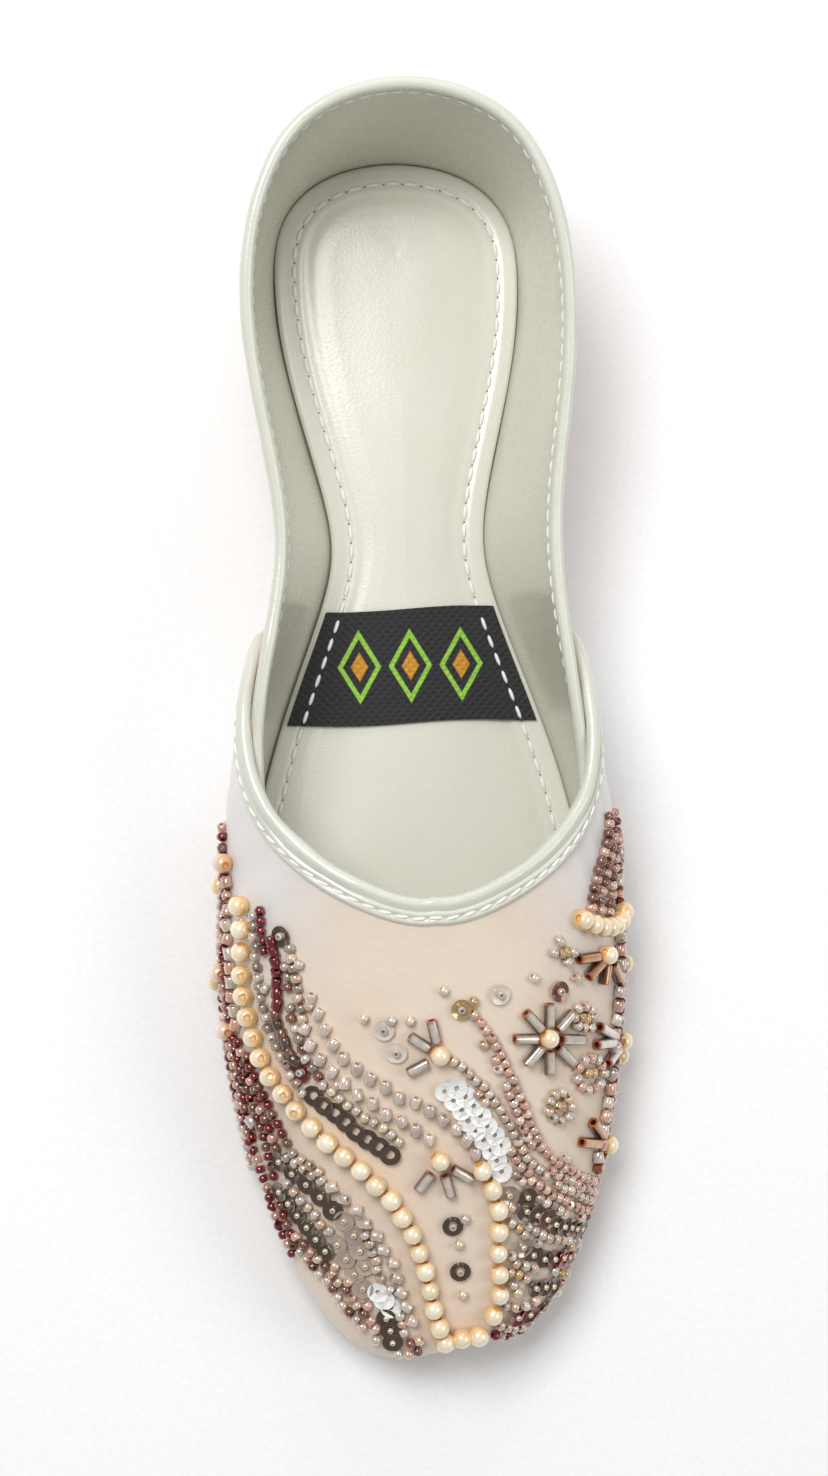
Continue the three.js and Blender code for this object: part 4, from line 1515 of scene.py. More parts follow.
class Bead(Enum):
    """The kinds of bead on the vamp."""

    PEARL = "pearls"
    SEED = "seed_beads"
    CYLINDER = "cylinder_beads"
    BUGLE = "bugle_beads"
    SEQUIN = "cup_sequins"
    FROSTED = "frosted_sequins"
    RING = "ring_sequins"


class Tone(Enum):
    """Shades of the beads, as linear red, green and blue."""

    CREAM = (0.85, 0.7, 0.48)
    IVORY = (0.87, 0.75, 0.55)
    CHAMPAGNE = (0.78, 0.57, 0.43)
    ROSE = (0.72, 0.44, 0.34)
    SILVER = (0.72, 0.63, 0.55)
    BLUSH = (0.82, 0.68, 0.6)
    SMOKE = (0.42, 0.33, 0.27)
    GUNMETAL = (0.12, 0.078, 0.056)
    MAROON = (0.2, 0.014, 0.018)
    RUST = (0.45, 0.1, 0.018)
    GOLD = (0.62, 0.42, 0.2)
    FROST = (0.95, 0.95, 0.92)
    BROWN = (0.26, 0.11, 0.075)
    PEWTER = (0.6, 0.47, 0.34)


class Course(NamedTuple):
    """A string of beads: its kind, its shades in turn, the distance from bead to bead, its way over
    the vamp, how far holes turn (of pearls to the camera, 1 being straight at it, and of other
    beads across the string, 1 being half way), and whether a small bead holds each sequin. The way
    is in pixels of the photograph, and on the flanks in sections and rises of the last."""

    kind: Bead
    tones: tuple[Tone, ...]
    pitch: float
    way: tuple[Place, ...] | Array
    turn: float = 0.0
    held: bool = False


class Single(NamedTuple):
    """A bead sewn on by itself, in pixels of the photograph."""

    kind: Bead
    tone: Tone
    place: Place


class Flower(NamedTuple):
    """Bugles round a middle, in pixels of the photograph: how far from it their near and far ends
    are, their turns in degrees clockwise from the heel's side, and their shade."""

    middle: Place
    near: float
    far: float
    turns: tuple[float, ...]
    tone: Tone

    def end(self, turn: float, reach: float) -> Place:
        """Return the pixel at a turn, so far from the middle."""
        angle = math.radians(turn)
        return self.middle[0] + reach * math.sin(angle), self.middle[1] - reach * math.cos(angle)


class Rosette(NamedTuple):
    """An oval ring of small beads round a middle one, in pixels of the photograph."""

    middle: Place
    radius: float
    tone: Tone

    def heart(self) -> Course:
        """Return the beads in the middle."""
        x, y = self.middle
        return Course(Bead.SEED, (Tone.GOLD,), 2.0, ((x - 2, y), (x + 2, y)))

    def ring(self) -> Course:
        """Return the beads round it."""
        angle = np.linspace(0, 2 * np.pi, 13)
        oval = self.radius * np.stack((0.8 * np.cos(angle), np.sin(angle)), -1)
        return Course(Bead.SEED, (self.tone, Tone.SILVER), 2.1, np.array(self.middle) + oval)


class Make(NamedTuple):
    """How a kind of bead is made: its profile round the thread as (along, radius), the steps round,
    how far its centre is off the satin, the radius it keeps free, how far it strays, whether it
    lies flat, and its material slot."""

    profile: tuple[Place, ...]
    sides: int
    lift: float
    room: float
    slack: float
    flat: bool
    slot: str


P, S, C, Q, F, R = Bead.PEARL, Bead.SEED, Bead.CYLINDER, Bead.SEQUIN, Bead.FROSTED, Bead.RING
T = Tone
BUGLE_LENGTH = 4.6
CUP = ((0.0, 0.5), (0.03, 1.25), (0.34, 2.1), (0.44, 2.08), (0.14, 1.22), (0.1, 0.5))
HOOP = ((0.0, 0.9), (0.03, 1.35), (0.34, 2.1), (0.44, 2.08), (0.15, 1.32), (0.12, 0.9))
MAKES = {
    P: Make(((-1.84, 0.66), (-1.78, 0.92), (-1.39, 1.44), (-0.8, 1.83), (0.0, 2.0), (0.8, 1.83), (1.39, 1.44),
             (1.78, 0.92), (1.84, 0.66), (1.5, 0.56), (1.45, 0.04), (-1.45, 0.04), (-1.5, 0.56)),
            16, 1.85, 2.0, 0.08, False, "pearls"),
    S: Make(((-0.72, 0.42), (-0.75, 0.76), (-0.4, 1.08), (0.4, 1.08), (0.75, 0.76), (0.72, 0.42)),
            8, 0.85, 0.98, 0.18, False, "beads"),
    C: Make(((-1.05, 0.5), (-1.1, 0.98), (-0.95, 1.12), (0.95, 1.12), (1.1, 0.98), (1.05, 0.5)),
            10, 1.0, 1.1, 0.2, False, "beads"),
    Bead.BUGLE: Make(((-2.3, 0.6), (-2.3, 1.08), (-1.7, 1.12), (1.7, 1.12), (2.3, 1.08), (2.3, 0.6)),
                     12, 1.05, 1.0, 0.1, False, "beads"),
    Q: Make(CUP, 16, 0.5, 2.05, 0.12, True, "beads"),
    F: Make(CUP, 16, 0.5, 1.75, 0.12, True, "beads"),
    R: Make(HOOP, 18, 0.5, 1.75, 0.1, True, "beads"),
}
COURSES = (
    # Pearls: down the inner side, over the toe, up the middle, and round the throat's outer end.
    Course(P, (T.CREAM, T.IVORY), 4.3, ((79, 944), (81, 962), (81, 981))),
    Course(P, (T.CREAM,), 4.2, (
        (81, 999), (83, 1020), (90, 1048), (100, 1073), (112, 1091), (124, 1107)), 0.95),
    Course(P, (T.CREAM, T.IVORY), 4.2, (
        (137, 1120), (150, 1132), (179, 1157), (205, 1184), (223, 1219), (233, 1257), (239, 1280))),
    Course(P, (T.IVORY, T.CREAM), 3.5, ((244, 1292), (257, 1289), (271, 1287))),
    Course(P, (T.IVORY, T.CREAM), 4.75, (
        (274, 1156), (283, 1174), (288, 1194), (287, 1212), (286, 1231), (289, 1250), (283, 1271))),
    Course(P, (T.CREAM,), 3.1, ((356, 956), (367, 961), (377, 963), (386, 959), (390, 951))),
    # Ring sequins inside the pearls, and the short strings above them.
    Course(R, (T.GUNMETAL,), 2.8, (
        (139, 1095), (150, 1104), (162, 1113), (176, 1126), (190, 1134), (200, 1142))),
    Course(C, (T.MAROON,), 2.0, ((105, 964), (107, 981), (109, 1003), (110, 1022))),
    Course(C, (T.BROWN, T.GUNMETAL), 2.1, ((109, 1031), (112, 1044), (118, 1057), (124, 1067))),
    # Frosted sequins in the middle.
    Course(F, (T.FROST,), 2.5, (
        (244, 1092), (254, 1102), (262, 1114), (272, 1127), (282, 1141), (290, 1156))),
    Course(F, (T.FROST,), 2.6, ((253, 1090), (263, 1099), (272, 1111), (281, 1123), (288, 1136))),
    # Sequins on the outer side of the toe.
    Course(Q, (T.SMOKE, T.GUNMETAL), 3.0, ((295, 1175), (303, 1174), (310, 1176)), held=True),
    Course(Q, (T.GUNMETAL, T.GUNMETAL, T.BROWN), 2.8, (
        (309, 1188), (319, 1190), (327, 1196), (335, 1200), (343, 1203), (353, 1202)), held=True),
    Course(Q, (T.SMOKE, T.GUNMETAL, T.GUNMETAL), 2.9, ((306, 1217), (315, 1223), (323, 1226)), held=True),
    Course(Q, (T.MAROON,), 2.9, ((331, 1226), (338, 1225), (346, 1223)), held=True),
    Course(Q, (T.GUNMETAL,), 3.0, ((316, 1249), (330, 1247)), held=True),
    Course(Q, (T.MAROON,), 3.0, ((302, 1272), (311, 1270)), held=True),
    Course(Q, (T.GUNMETAL,), 3.0, ((319, 1268), (327, 1265)), held=True),
    # Sequins on the inner side of the toe.
    Course(Q, (T.GUNMETAL,), 3.3, (
        (112, 1147), (123, 1158), (136, 1166), (145, 1175), (155, 1185)), held=True),
    Course(Q, (T.GUNMETAL,), 2.9, (
        (113, 1170), (118, 1177), (125, 1186), (133, 1197), (141, 1206), (149, 1217)), held=True),
    Course(F, (T.SMOKE,), 3.0, ((163, 1194), (172, 1205), (177, 1218), (180, 1230)), held=True),
    Course(F, (T.SMOKE,), 3.0, ((158, 1212), (166, 1225), (172, 1236), (179, 1247)), held=True),
    Course(F, (T.FROST,), 2.4, ((190, 1251), (196, 1257), (201, 1263))),
    Course(Q, (T.GUNMETAL,), 2.8, ((197, 1271), (200, 1280), (202, 1290)), held=True),
    # Cylinder beads in open rows.
    Course(C, (T.BLUSH,), 3.3, (
        (137, 1017), (142, 1029), (147, 1042), (152, 1052), (160, 1063), (172, 1071), (182, 1080),
        (194, 1087), (204, 1094), (217, 1100), (230, 1106), (241, 1113), (251, 1121), (260, 1131),
        (268, 1142)), -1.2),
    Course(C, (T.BLUSH,), 3.2, (
        (131, 1042), (136, 1055), (144, 1066), (152, 1075), (162, 1084), (173, 1093), (185, 1101),
        (196, 1108), (207, 1114), (219, 1121), (231, 1130)), -1.2),
    Course(C, (T.BLUSH, T.SILVER), 3.2, (
        (153, 1168), (163, 1177), (173, 1187), (182, 1198), (190, 1208), (197, 1220), (202, 1231),
        (207, 1245), (211, 1260), (216, 1274)), 1.2),
    # Seed beads inside the pearls.
    Course(S, (T.MAROON,), 1.8, ((96, 948), (97, 962), (99, 980))),
    Course(S, (T.SILVER, T.SMOKE), 2.0, (
        (91, 952), (92, 975), (94, 1000), (99, 1028), (107, 1052), (118, 1074), (130, 1092))),
    Course(S, (T.SILVER, T.CHAMPAGNE), 2.1, ((98, 992), (100, 1012), (104, 1036))),
    Course(S, (T.SMOKE, T.CHAMPAGNE), 2.0, (
        (115, 962), (121, 984), (125, 1008), (130, 1032), (138, 1056), (150, 1078))),
    Course(S, (T.CHAMPAGNE, T.SMOKE, T.SILVER), 2.0, ((123, 974), (129, 996), (133, 1014), (136, 1032))),
    Course(S, (T.BROWN, T.SILVER, T.SMOKE), 2.0, (
        (116, 984), (119, 1010), (123, 1036), (131, 1060), (142, 1080))),
    Course(S, (T.IVORY, T.SILVER), 2.0, (
        (141, 1080), (150, 1089), (163, 1100), (180, 1112), (196, 1122), (206, 1132))),
    Course(S, (T.SILVER, T.CHAMPAGNE), 2.1, ((150, 1083), (163, 1093), (180, 1106), (196, 1116))),
    # Seed beads outside the pearls, along the inner edge.
    Course(S, (T.MAROON, T.MAROON, T.ROSE), 2.0, (
        (68, 955), (67, 985), (66, 1015), (68, 1045), (73, 1075), (80, 1100), (89, 1133), (99, 1157),
        (105, 1180), (113, 1200), (122, 1219))),
    Course(S, (T.MAROON, T.BROWN), 2.0, (
        (74, 1050), (80, 1072), (87, 1092), (95, 1115), (103, 1138), (107, 1160), (113, 1184),
        (121, 1204))),
    Course(S, (T.MAROON, T.ROSE, T.BROWN), 2.0, (
        (79, 1052), (86, 1075), (94, 1096), (102, 1117), (109, 1136))),
    Course(S, (T.BROWN, T.MAROON, T.MAROON), 2.0, (
        (86, 1064), (93, 1082), (101, 1100), (110, 1117), (118, 1132))),
    # Seed beads round the sequins on the inner side of the toe.
    Course(S, (T.SILVER, T.CHAMPAGNE, T.SMOKE), 2.0, (
        (106, 1133), (118, 1143), (130, 1152), (142, 1160), (151, 1168))),
    Course(S, (T.CHAMPAGNE, T.SMOKE), 2.0, ((104, 1126), (120, 1139), (136, 1150), (150, 1160))),
    Course(S, (T.SILVER, T.CHAMPAGNE), 1.9, (
        (118, 1165), (128, 1177), (139, 1188), (149, 1199), (155, 1209))),
    Course(S, (T.SILVER, T.CHAMPAGNE), 2.0, (
        (160, 1183), (171, 1193), (181, 1206), (187, 1220), (190, 1236), (195, 1246))),
    Course(S, (T.CHAMPAGNE, T.BROWN, T.ROSE), 2.0, (
        (112, 1186), (121, 1199), (130, 1211), (140, 1221), (149, 1231), (159, 1242), (168, 1254),
        (179, 1267), (188, 1280))),
    Course(S, (T.CHAMPAGNE, T.BROWN, T.SILVER), 2.0, (
        (118, 1207), (128, 1219), (139, 1230), (150, 1242), (157, 1253), (166, 1264), (176, 1275),
        (186, 1286), (196, 1296), (208, 1301), (222, 1298))),
    Course(S, (T.ROSE, T.CHAMPAGNE), 2.0, (
        (150, 1224), (158, 1234), (168, 1245), (178, 1257), (188, 1269), (192, 1282))),
    Course(S, (T.SILVER, T.ROSE), 2.0, ((180, 1250), (187, 1261), (192, 1274))),
    Course(S, (T.BROWN, T.CHAMPAGNE), 2.0, ((190, 1286), (200, 1296), (212, 1293), (223, 1289))),
    Course(S, (T.SILVER, T.ROSE), 2.0, ((208, 1270), (210, 1281), (216, 1287))),
    # Seed beads in the band from the middle to the outer edge.
    Course(S, (T.CHAMPAGNE, T.ROSE), 2.0, (
        (268, 1031), (275, 1041), (283, 1053), (290, 1066), (296, 1079), (303, 1093), (308, 1107),
        (314, 1122), (321, 1136), (331, 1147), (343, 1156), (356, 1162), (365, 1165))),
    Course(S, (T.ROSE, T.BLUSH), 2.0, (
        (276, 1055), (284, 1067), (291, 1082), (297, 1096), (303, 1112), (310, 1128), (318, 1142),
        (328, 1153), (341, 1163), (355, 1170), (364, 1173))),
    Course(S, (T.CHAMPAGNE, T.SILVER), 2.0, (
        (250, 1069), (262, 1077), (274, 1088), (284, 1100), (291, 1112), (298, 1126), (306, 1140),
        (316, 1152), (328, 1163), (343, 1172), (359, 1180))),
    Course(S, (T.ROSE, T.CHAMPAGNE), 2.0, (
        (271, 1095), (280, 1106), (287, 1119), (293, 1132), (300, 1145), (310, 1158), (323, 1170),
        (338, 1180), (356, 1188))),
    Course(S, (T.BLUSH, T.SMOKE), 2.0, ((297, 1153), (305, 1165), (317, 1176), (332, 1186), (350, 1192))),
    Course(S, (T.ROSE, T.CHAMPAGNE), 2.0, (
        (312, 1140), (322, 1153), (334, 1164), (350, 1174), (361, 1179))),
    Course(S, (T.SILVER, T.BLUSH), 2.0, (
        (301, 1158), (312, 1170), (326, 1180), (342, 1188), (354, 1191))),
    Course(S, (T.SILVER, T.CHAMPAGNE), 2.0, ((314, 1177), (326, 1185), (342, 1193), (355, 1194))),
    # Seed beads round the sequins on the outer side of the toe.
    Course(S, (T.CHAMPAGNE, T.SILVER), 2.0, (
        (297, 1185), (307, 1198), (320, 1206), (334, 1211), (350, 1212))),
    Course(S, (T.SILVER, T.GOLD), 2.0, ((298, 1197), (308, 1207), (320, 1214), (334, 1217), (348, 1216))),
    Course(S, (T.SILVER, T.CHAMPAGNE), 2.0, ((297, 1224), (308, 1232), (322, 1236), (341, 1233))),
    Course(S, (T.CHAMPAGNE, T.GOLD), 2.0, ((297, 1236), (307, 1241), (321, 1241), (337, 1238))),
    Course(S, (T.SILVER, T.IVORY), 2.0, (
        (298, 1247), (303, 1252), (308, 1257), (320, 1258), (334, 1254))),
    Course(S, (T.SILVER, T.CHAMPAGNE), 2.0, ((293, 1262), (303, 1264), (316, 1260))),
    Course(S, (T.SILVER, T.CHAMPAGNE), 2.0, ((288, 1279), (300, 1281), (314, 1277), (326, 1272))),
    Course(S, (T.MAROON, T.CHAMPAGNE), 2.0, ((284, 1286), (300, 1288), (314, 1283))),
    # Seed beads at both ends of the throat.
    Course(S, (T.BROWN, T.ROSE, T.BROWN), 1.8, (
        (377, 872), (376, 888), (373, 902), (368, 918), (365, 932), (363, 946))),
    Course(S, (T.ROSE, T.BROWN), 1.8, ((380, 890), (378, 904), (374, 918), (371, 932), (370, 948))),
    Course(S, (T.BROWN, T.CHAMPAGNE, T.ROSE), 1.8, ((382, 900), (381, 914), (379, 928), (377, 950))),
    Course(S, (T.ROSE, T.BROWN), 1.8, ((384, 912), (385, 926), (384, 948))),
    Course(S, (T.BROWN, T.ROSE), 1.9, ((66, 898), (62, 910), (65, 924), (70, 936))),
)
SINGLES = (
    Single(P, T.CREAM, (240, 1064)), Single(P, T.CREAM, (328, 1051)), Single(P, T.CREAM, (240, 1148)),
    Single(P, T.IVORY, (376, 984)), Single(P, T.IVORY, (388, 1053)), Single(P, T.IVORY, (376, 1136)),
    Single(P, T.BLUSH, (63, 997)), Single(P, T.BLUSH, (68, 1043)), Single(P, T.CHAMPAGNE, (66, 910)),
    Single(R, T.MAROON, (129, 1076)), Single(R, T.GUNMETAL, (113, 968)),
    Single(F, T.SILVER, (195, 1043)), Single(S, T.SILVER, (201, 1036)), Single(F, T.SILVER, (205, 1061)),
    Single(S, T.IVORY, (179, 1034)), Single(S, T.IVORY, (216, 1036)), Single(S, T.IVORY, (243, 1012)),
    Single(Q, T.GOLD, (257, 1027)), Single(S, T.GOLD, (267, 1021)), Single(F, T.SILVER, (288, 1015)),
    Single(S, T.IVORY, (316, 1002)), Single(Q, T.BROWN, (336, 1013)),
    Single(R, T.GUNMETAL, (250, 1199)), Single(S, T.SILVER, (260, 1194)), Single(S, T.IVORY, (255, 1214)),
    Single(R, T.GUNMETAL, (256, 1235)), Single(S, T.GOLD, (262, 1239)), Single(S, T.IVORY, (258, 1254)),
    Single(S, T.CHAMPAGNE, (350, 1002)), Single(S, T.SILVER, (341, 1146)),
)
FLOWERS = (
    Flower((328, 1051), 10, 28, (0, 42, 92, 136, 180, 222, 270, 318), T.PEWTER),
    Flower((240, 1064), 11, 29, (346, 303, 242), T.PEWTER),
    Flower((240, 1148), 12, 29, (218, 162, 120), T.PEWTER),
    Flower((376, 984), 8, 24, (262, 222, 188, 155), T.RUST),
    Flower((388, 1053), 8, 22, (300, 262, 215), T.CHAMPAGNE),
    Flower((376, 1136), 8, 22, (276, 325, 205, 175), T.RUST),
)
ROSETTES = (
    Rosette((340, 982), 9, T.SILVER),
    Rosette((356, 1034), 10, T.CHAMPAGNE),
    Rosette((361, 1079), 13, T.ROSE),
    Rosette((336, 1105), 12, T.CHAMPAGNE),
    Rosette((195, 1257), 9, T.FROST),
)
FLANK_FLOWERS = (11.2, 12.3, 13.4)
FLANK_FLOWER_RISE = 0.1
FLANK = (
    Course(S, (T.MAROON, T.ROSE), 2.0, (
        (10.7, 0.07), (12, 0.06), (13.2, 0.06), (14.5, 0.06), (17.6, 0.06))),
    Course(S, (T.CHAMPAGNE, T.SILVER), 2.0, (
        (10.5, 0.11), (12, 0.1), (13.2, 0.1), (14.6, 0.1), (17.4, 0.1))),
    Course(S, (T.ROSE, T.CHAMPAGNE), 2.0, (
        (10.5, 0.215), (12, 0.21), (13.2, 0.21), (14.4, 0.21), (17.2, 0.2))),
    Course(S, (T.MAROON, T.BROWN), 2.0, (
        (10.6, 0.26), (12, 0.25), (13.2, 0.245), (14.2, 0.24), (17, 0.23))),
    Course(C, (T.ROSE, T.SILVER), 2.8, (
        (10.8, 0.31), (12, 0.3), (13.2, 0.29), (14, 0.28), (16.8, 0.26))),
)


@dataclass
class Eye:
    """The photograph's camera, as worked out from the shoe: where a point of the vamp shows."""

    studio: Studio
    focal: float = 2170.0
    centre: Place = (42.0, 890.0)

    def pixels(self, p: Array) -> Array:
        """Return the photograph's pixels for points in millimetres."""
        toe = unit(np.array((self.studio.roll, 1.0)))
        right = np.array((toe[1], -toe[0]))
        plan = p[..., :2] - np.array(self.studio.nadir)
        scale = self.focal / (self.studio.height - p[..., 2:3])
        return np.array(self.centre) + scale * (plan[..., :1] * right - plan[..., 1:2] * toe)

    def towards(self, p: Array) -> Array:
        """Return the directions from points to the camera."""
        return unit(np.array((*self.studio.nadir, self.studio.height)) - p)


class Run(NamedTuple):
    """A line on the vamp: its points and the vamp's normals there."""

    points: Array
    normals: Array


@dataclass
class Beadwork:
    """The beads sewn on the vamp, each string laid by its way in the photograph.

    A pixel is looked up within the sections and rises, and it is on the vamp if a place of the grid
    shows within reach pixels of it. A Newton step is left out where a section by a unit of rise
    covers less than the least spread, in square pixels. Beads stand apart by a share, the
    closeness, of the radii that they keep free.
    """

    last: Last
    maker: Maker
    upper: Upper
    eye: Eye
    seed: int = 7
    sections: Place = (8.4, 18.99)
    rises: Place = (0.015, 1.985)
    reach: float = 5.0
    least_spread: float = 60.0
    closeness: float = 0.82
    pearl_shades: float = 0.05
    bead_shades: float = 0.16
    pearl_sizes: Place = (0.98, 1.07)
    bead_sizes: Place = (0.93, 1.06)
    # Tint factors for the pearls: golden rims, partly the nacre's own gold and partly painted shade; a
    # painted highlight on top; painted shade in the hole.
    rim_gold_and_shade: Triple = (1.03, 0.8, 0.48)
    painted_top_highlight: Triple = (1.14, 1.17, 1.24)
    hole_gold_and_shade: Triple = (0.86, 0.64, 0.4)
    mother: Finish = Beaded("bead_pearl", (0.86, 0.72, 0.52), 0.22, metallic=0.15, coat=1.0,
                            coat_roughness=0.08, change=0.02)
    glass: Finish = Beaded("bead_lined_glass", (0.6, 0.45, 0.36), 0.14, metallic=0.35, coat=1.0,
                           coat_roughness=0.03, change=0.1)
    foil: Finish = Beaded("bead_sequin_foil", (0.5, 0.45, 0.42), 0.16, metallic=0.6, coat=1.0,
                          coat_roughness=0.05, change=0.08)
    frosted: Finish = Beaded("bead_frosted_sequin", (0.88, 0.88, 0.85), 0.24, coat=1.0,
                             coat_roughness=0.1, change=0.05)

    def __post_init__(self) -> None:
        """Lay out the grid of places on the vamp that pixels are looked up in."""
        self.random = np.random.default_rng(self.seed)
        self.heaps: dict[Bead, list[tuple[Array, Array, Array]]] = {kind: [] for kind in Bead}
        self.taken = np.zeros((0, 5))
        u = np.linspace(8.6, 18.98, 170)[:, None]
        t = np.linspace(0.02, 1.98, 220)[None, :]
        grid = [a.ravel() for a in np.broadcast_arrays(u, t)]
        points = self.surface(*grid, 1.0)
        seen = (self.eye.towards(points) * self.last.normal(*grid)).sum(-1) > 0.1
        self.grid = [a[seen] for a in grid]
        self.grid_pixels = self.eye.pixels(points[seen])

    def surface(self, u: Array, t: Array, lift: Array) -> Array:
        """Return points lifted off the vamp's outer face."""
        section = self.last.from_heel(u)
        added = puckers(self.last.point(u, t))
        return self.last.off(u, t, self.upper.vamp_outside(section) + added + lift)

    def find(self, pixels: Array, lift: float) -> tuple[Array, Array]:
        """Return where a point lifted off the vamp shows at each pixel: the nearest place of the
        grid, then three Newton steps where the pixel is on the vamp.

        Args:
            pixels: Pixels of the photograph.
            lift: How far the point is off the vamp's outer face.

        Returns:
            Sections and rises.
        """
        gap = ((pixels[:, None] - self.grid_pixels[None]) ** 2).sum(-1)
        best = gap.argmin(1)
        on = gap.min(1) < self.reach**2
        u, t = (axis[best] for axis in self.grid)
        h = SMALL_STEP
        for _ in range(3):
            here = self.eye.pixels(self.surface(u, t, lift))
            by_u = (self.eye.pixels(self.surface(u + h, t, lift)) - here) / h
            by_t = (self.eye.pixels(self.surface(u, t + h, lift)) - here) / h
            miss = pixels - here
            det = by_u[:, 0] * by_t[:, 1] - by_u[:, 1] * by_t[:, 0]
            det = np.where((np.abs(det) < self.least_spread) | ~on, np.inf, det)
            du = (miss[:, 0] * by_t[:, 1] - miss[:, 1] * by_t[:, 0]) / det
            dt = (by_u[:, 0] * miss[:, 1] - by_u[:, 1] * miss[:, 0]) / det
            u = np.clip(u + np.clip(du, -0.2, 0.2), *self.sections)
            t = np.clip(t + np.clip(dt, -0.03, 0.03), *self.rises)
        return u, t

    def seen(self, way: Array, kind: Bead, step: float = 5.0) -> Run:
        """Return the line of a way that the photograph shows. A long one is smoothed with a bell of
        five points.

        Args:
            way: Pixels of the photograph.
            kind: The kind of bead that is laid on it.
            step: About how many pixels its points are apart.

        Returns:
            The line on the vamp, lifted for the bead.
        """
        lift = MAKES[kind].lift
        u, t = self.find(through(way, step), lift)
        line = np.concatenate((self.surface(u, t, lift), self.last.normal(u, t)), axis=1)
        if len(line) > 6:
            bell = np.array((1, 2, 3, 2, 1)) / 9
            padded = np.vstack((2 * line[0] - line[2:0:-1], line, 2 * line[-1] - line[-2:-4:-1]))
            line = sum(w * padded[k:k + len(line)] for k, w in enumerate(bell))
        return Run(line[:, :3], unit(line[:, 3:]))

    def hidden(self, way: Array, kind: Bead) -> Run:
        """Return the line of a way in section and rise, for a kind of bead."""
        u, t = through(way, 0.1).T
        return Run(self.surface(u, t, MAKES[kind].lift), self.last.normal(u, t))

    def lay(
        self, kind: Bead, places: Array, tangents: Array, normals: Array, tones: Array, size: Array
    ) -> None:
        """Add beads to their kind's heap, but for those that would stand in one sewn on before. A
        sequin lies on other sequins, but not on beads.

        Args:
            kind: The kind of bead.
            places: Centres in millimetres.
            tangents: The way each bead's thread runs.
            normals: The way out of the vamp.
            tones: A colour a bead, or a colour a point of each bead.
            size: Length, width and height against the base bead's, a row a bead.
        """
        make = MAKES[kind]
        others = self.taken[self.taken[:, 4] == 0] if make.flat else self.taken
        gap = np.linalg.norm(places[:, None] - others[None, :, :3], axis=-1)
        free = (gap > self.closeness * (make.room + others[:, 3])).all(1)
        frames = frames_along(tangents, normals) * size[:, None, :]
        self.heaps[kind].append((places[free], frames[free], tones[free]))
        count = int(free.sum())
        rows = np.column_stack((places[free], np.full(count, make.room), np.full(count, float(make.flat))))
        self.taken = np.vstack((self.taken, rows))

    def hold(self, at: Array, way: Array, out: Array, tone: Tone, lift: float, size: float) -> None:
        """Add a small bead over the hole of each sequin.

        Args:
            at: The sequins' centres.
            way: The way their string runs.
            out: The way out of the vamp.
            tone: The small beads' shade.
            lift: How far they are off the sequins' centres.
            size: Their size against the seed bead's.
        """
        tones = np.full((len(at), 3), tone.value)
        self.heaps[S].append((at + lift * out, frames_along(out, way) * size, tones))

    def string(self, course: Course, run: Run) -> None:
        """Lay a string of beads along a line, each a little out of line.

        Args:
            course: The string.
            run: The line.
        """
        make = MAKES[course.kind]
        step = distance_along(run.points)
        stops = np.linspace(0, step[-1], max(round(step[-1] / course.pitch), 1) + 1)
        at = rows_at(stops, step, run.points)
        way = rows_at(stops, step, np.gradient(run.points, axis=0))
        out = rows_at(stops, step, run.normals)
        count = len(at)
        shades = np.array([course.tones[k % len(course.tones)].value for k in range(count)])
        change = self.pearl_shades if course.kind is P else self.bead_shades
        shades = np.clip(shades * self.random.uniform(1 - change, 1 + change, (count, 1)), 0, 1)
        at = at + unit(np.cross(out, way)) * self.random.normal(0, make.slack, (count, 1))
        at = at + out * np.abs(self.random.normal(0, 0.4 * make.slack, (count, 1)))
        size = self.random.uniform(*self.bead_sizes, (count, 3))
        loose = self.random.normal(0, 1, (count, 3))
        if course.kind is P:
            size = np.repeat(self.random.uniform(*self.pearl_sizes, (count, 1)), 3, axis=1)
            way = lerp(unit(way), self.eye.towards(at), course.turn) + 0.12 * loose
            # Pearl tints carry a painted highlight on top and painted shade at the rim and in the hole.
            shades = self.nacre_with_painted_light(shades, np.einsum("nij,ni->nj", frames_along(way, out), out))
        elif make.flat:
            out = unit(out + 0.2 * unit(way) + 0.05 * loose)
        else:
            way = unit(way) + course.turn * unit(np.cross(out, way)) + 0.3 * loose
        self.lay(course.kind, at, way, out, shades, size)
        if course.held:
            self.hold(at, way, out, T.IVORY, 0.42, 0.58)

    def nacre_with_painted_light(self, shades: Array, up: Array) -> Array:
        """Return a colour for each point of each pearl: a painted highlight makes it pale on top, and it is
        golden low down and round the hole, partly the nacre's own gold and partly painted shade.

        Args:
            shades: A colour a pearl.
            up: The way out of the vamp in each pearl's own axes.

        Returns:
            Colours, pearls by points.
        """
        points = self.base(P)[0]
        height = (points @ up.T).T[..., None]
        low = shades[:, None] * np.array(self.rim_gold_and_shade)
        high = shades[:, None] * np.array(self.painted_top_highlight)
        # Painted highlight towards the top, golden nacre with painted shade towards the rim.
        colours = lerp(low, high, smooth(height, 0.1, 1.8))
        radius = np.hypot(points[:, 1], points[:, 2])[:, None]
        # Painted shade in the hole, with the nacre's gold.
        rim = (radius < 0.7) & (radius > 0.1)
        return np.clip(np.where(rim, colours * np.array(self.hole_gold_and_shade), colours), 0, 1)

    def single(self, one: Single) -> None:
        """Lay a bead by itself; a sequin is held down by a small bead."""
        run = self.seen((one.place, (one.place[0] + 4, one.place[1] + 3)), one.kind)
        at, way, out = run.points[:1], np.diff(run.points[:2], axis=0), run.normals[:1]
        shades = np.array([one.tone.value])
        if one.kind is P:
            # Painted highlight on top, golden nacre and painted shade at the rim.
            shades = self.nacre_with_painted_light(shades, np.array(((0.0, 0.0, 1.0),)))
        self.lay(one.kind, at, way, out, shades, np.ones((1, 3)))
        if MAKES[one.kind].flat:
            self.hold(at, way, out, T.SILVER, 0.7, 0.75)

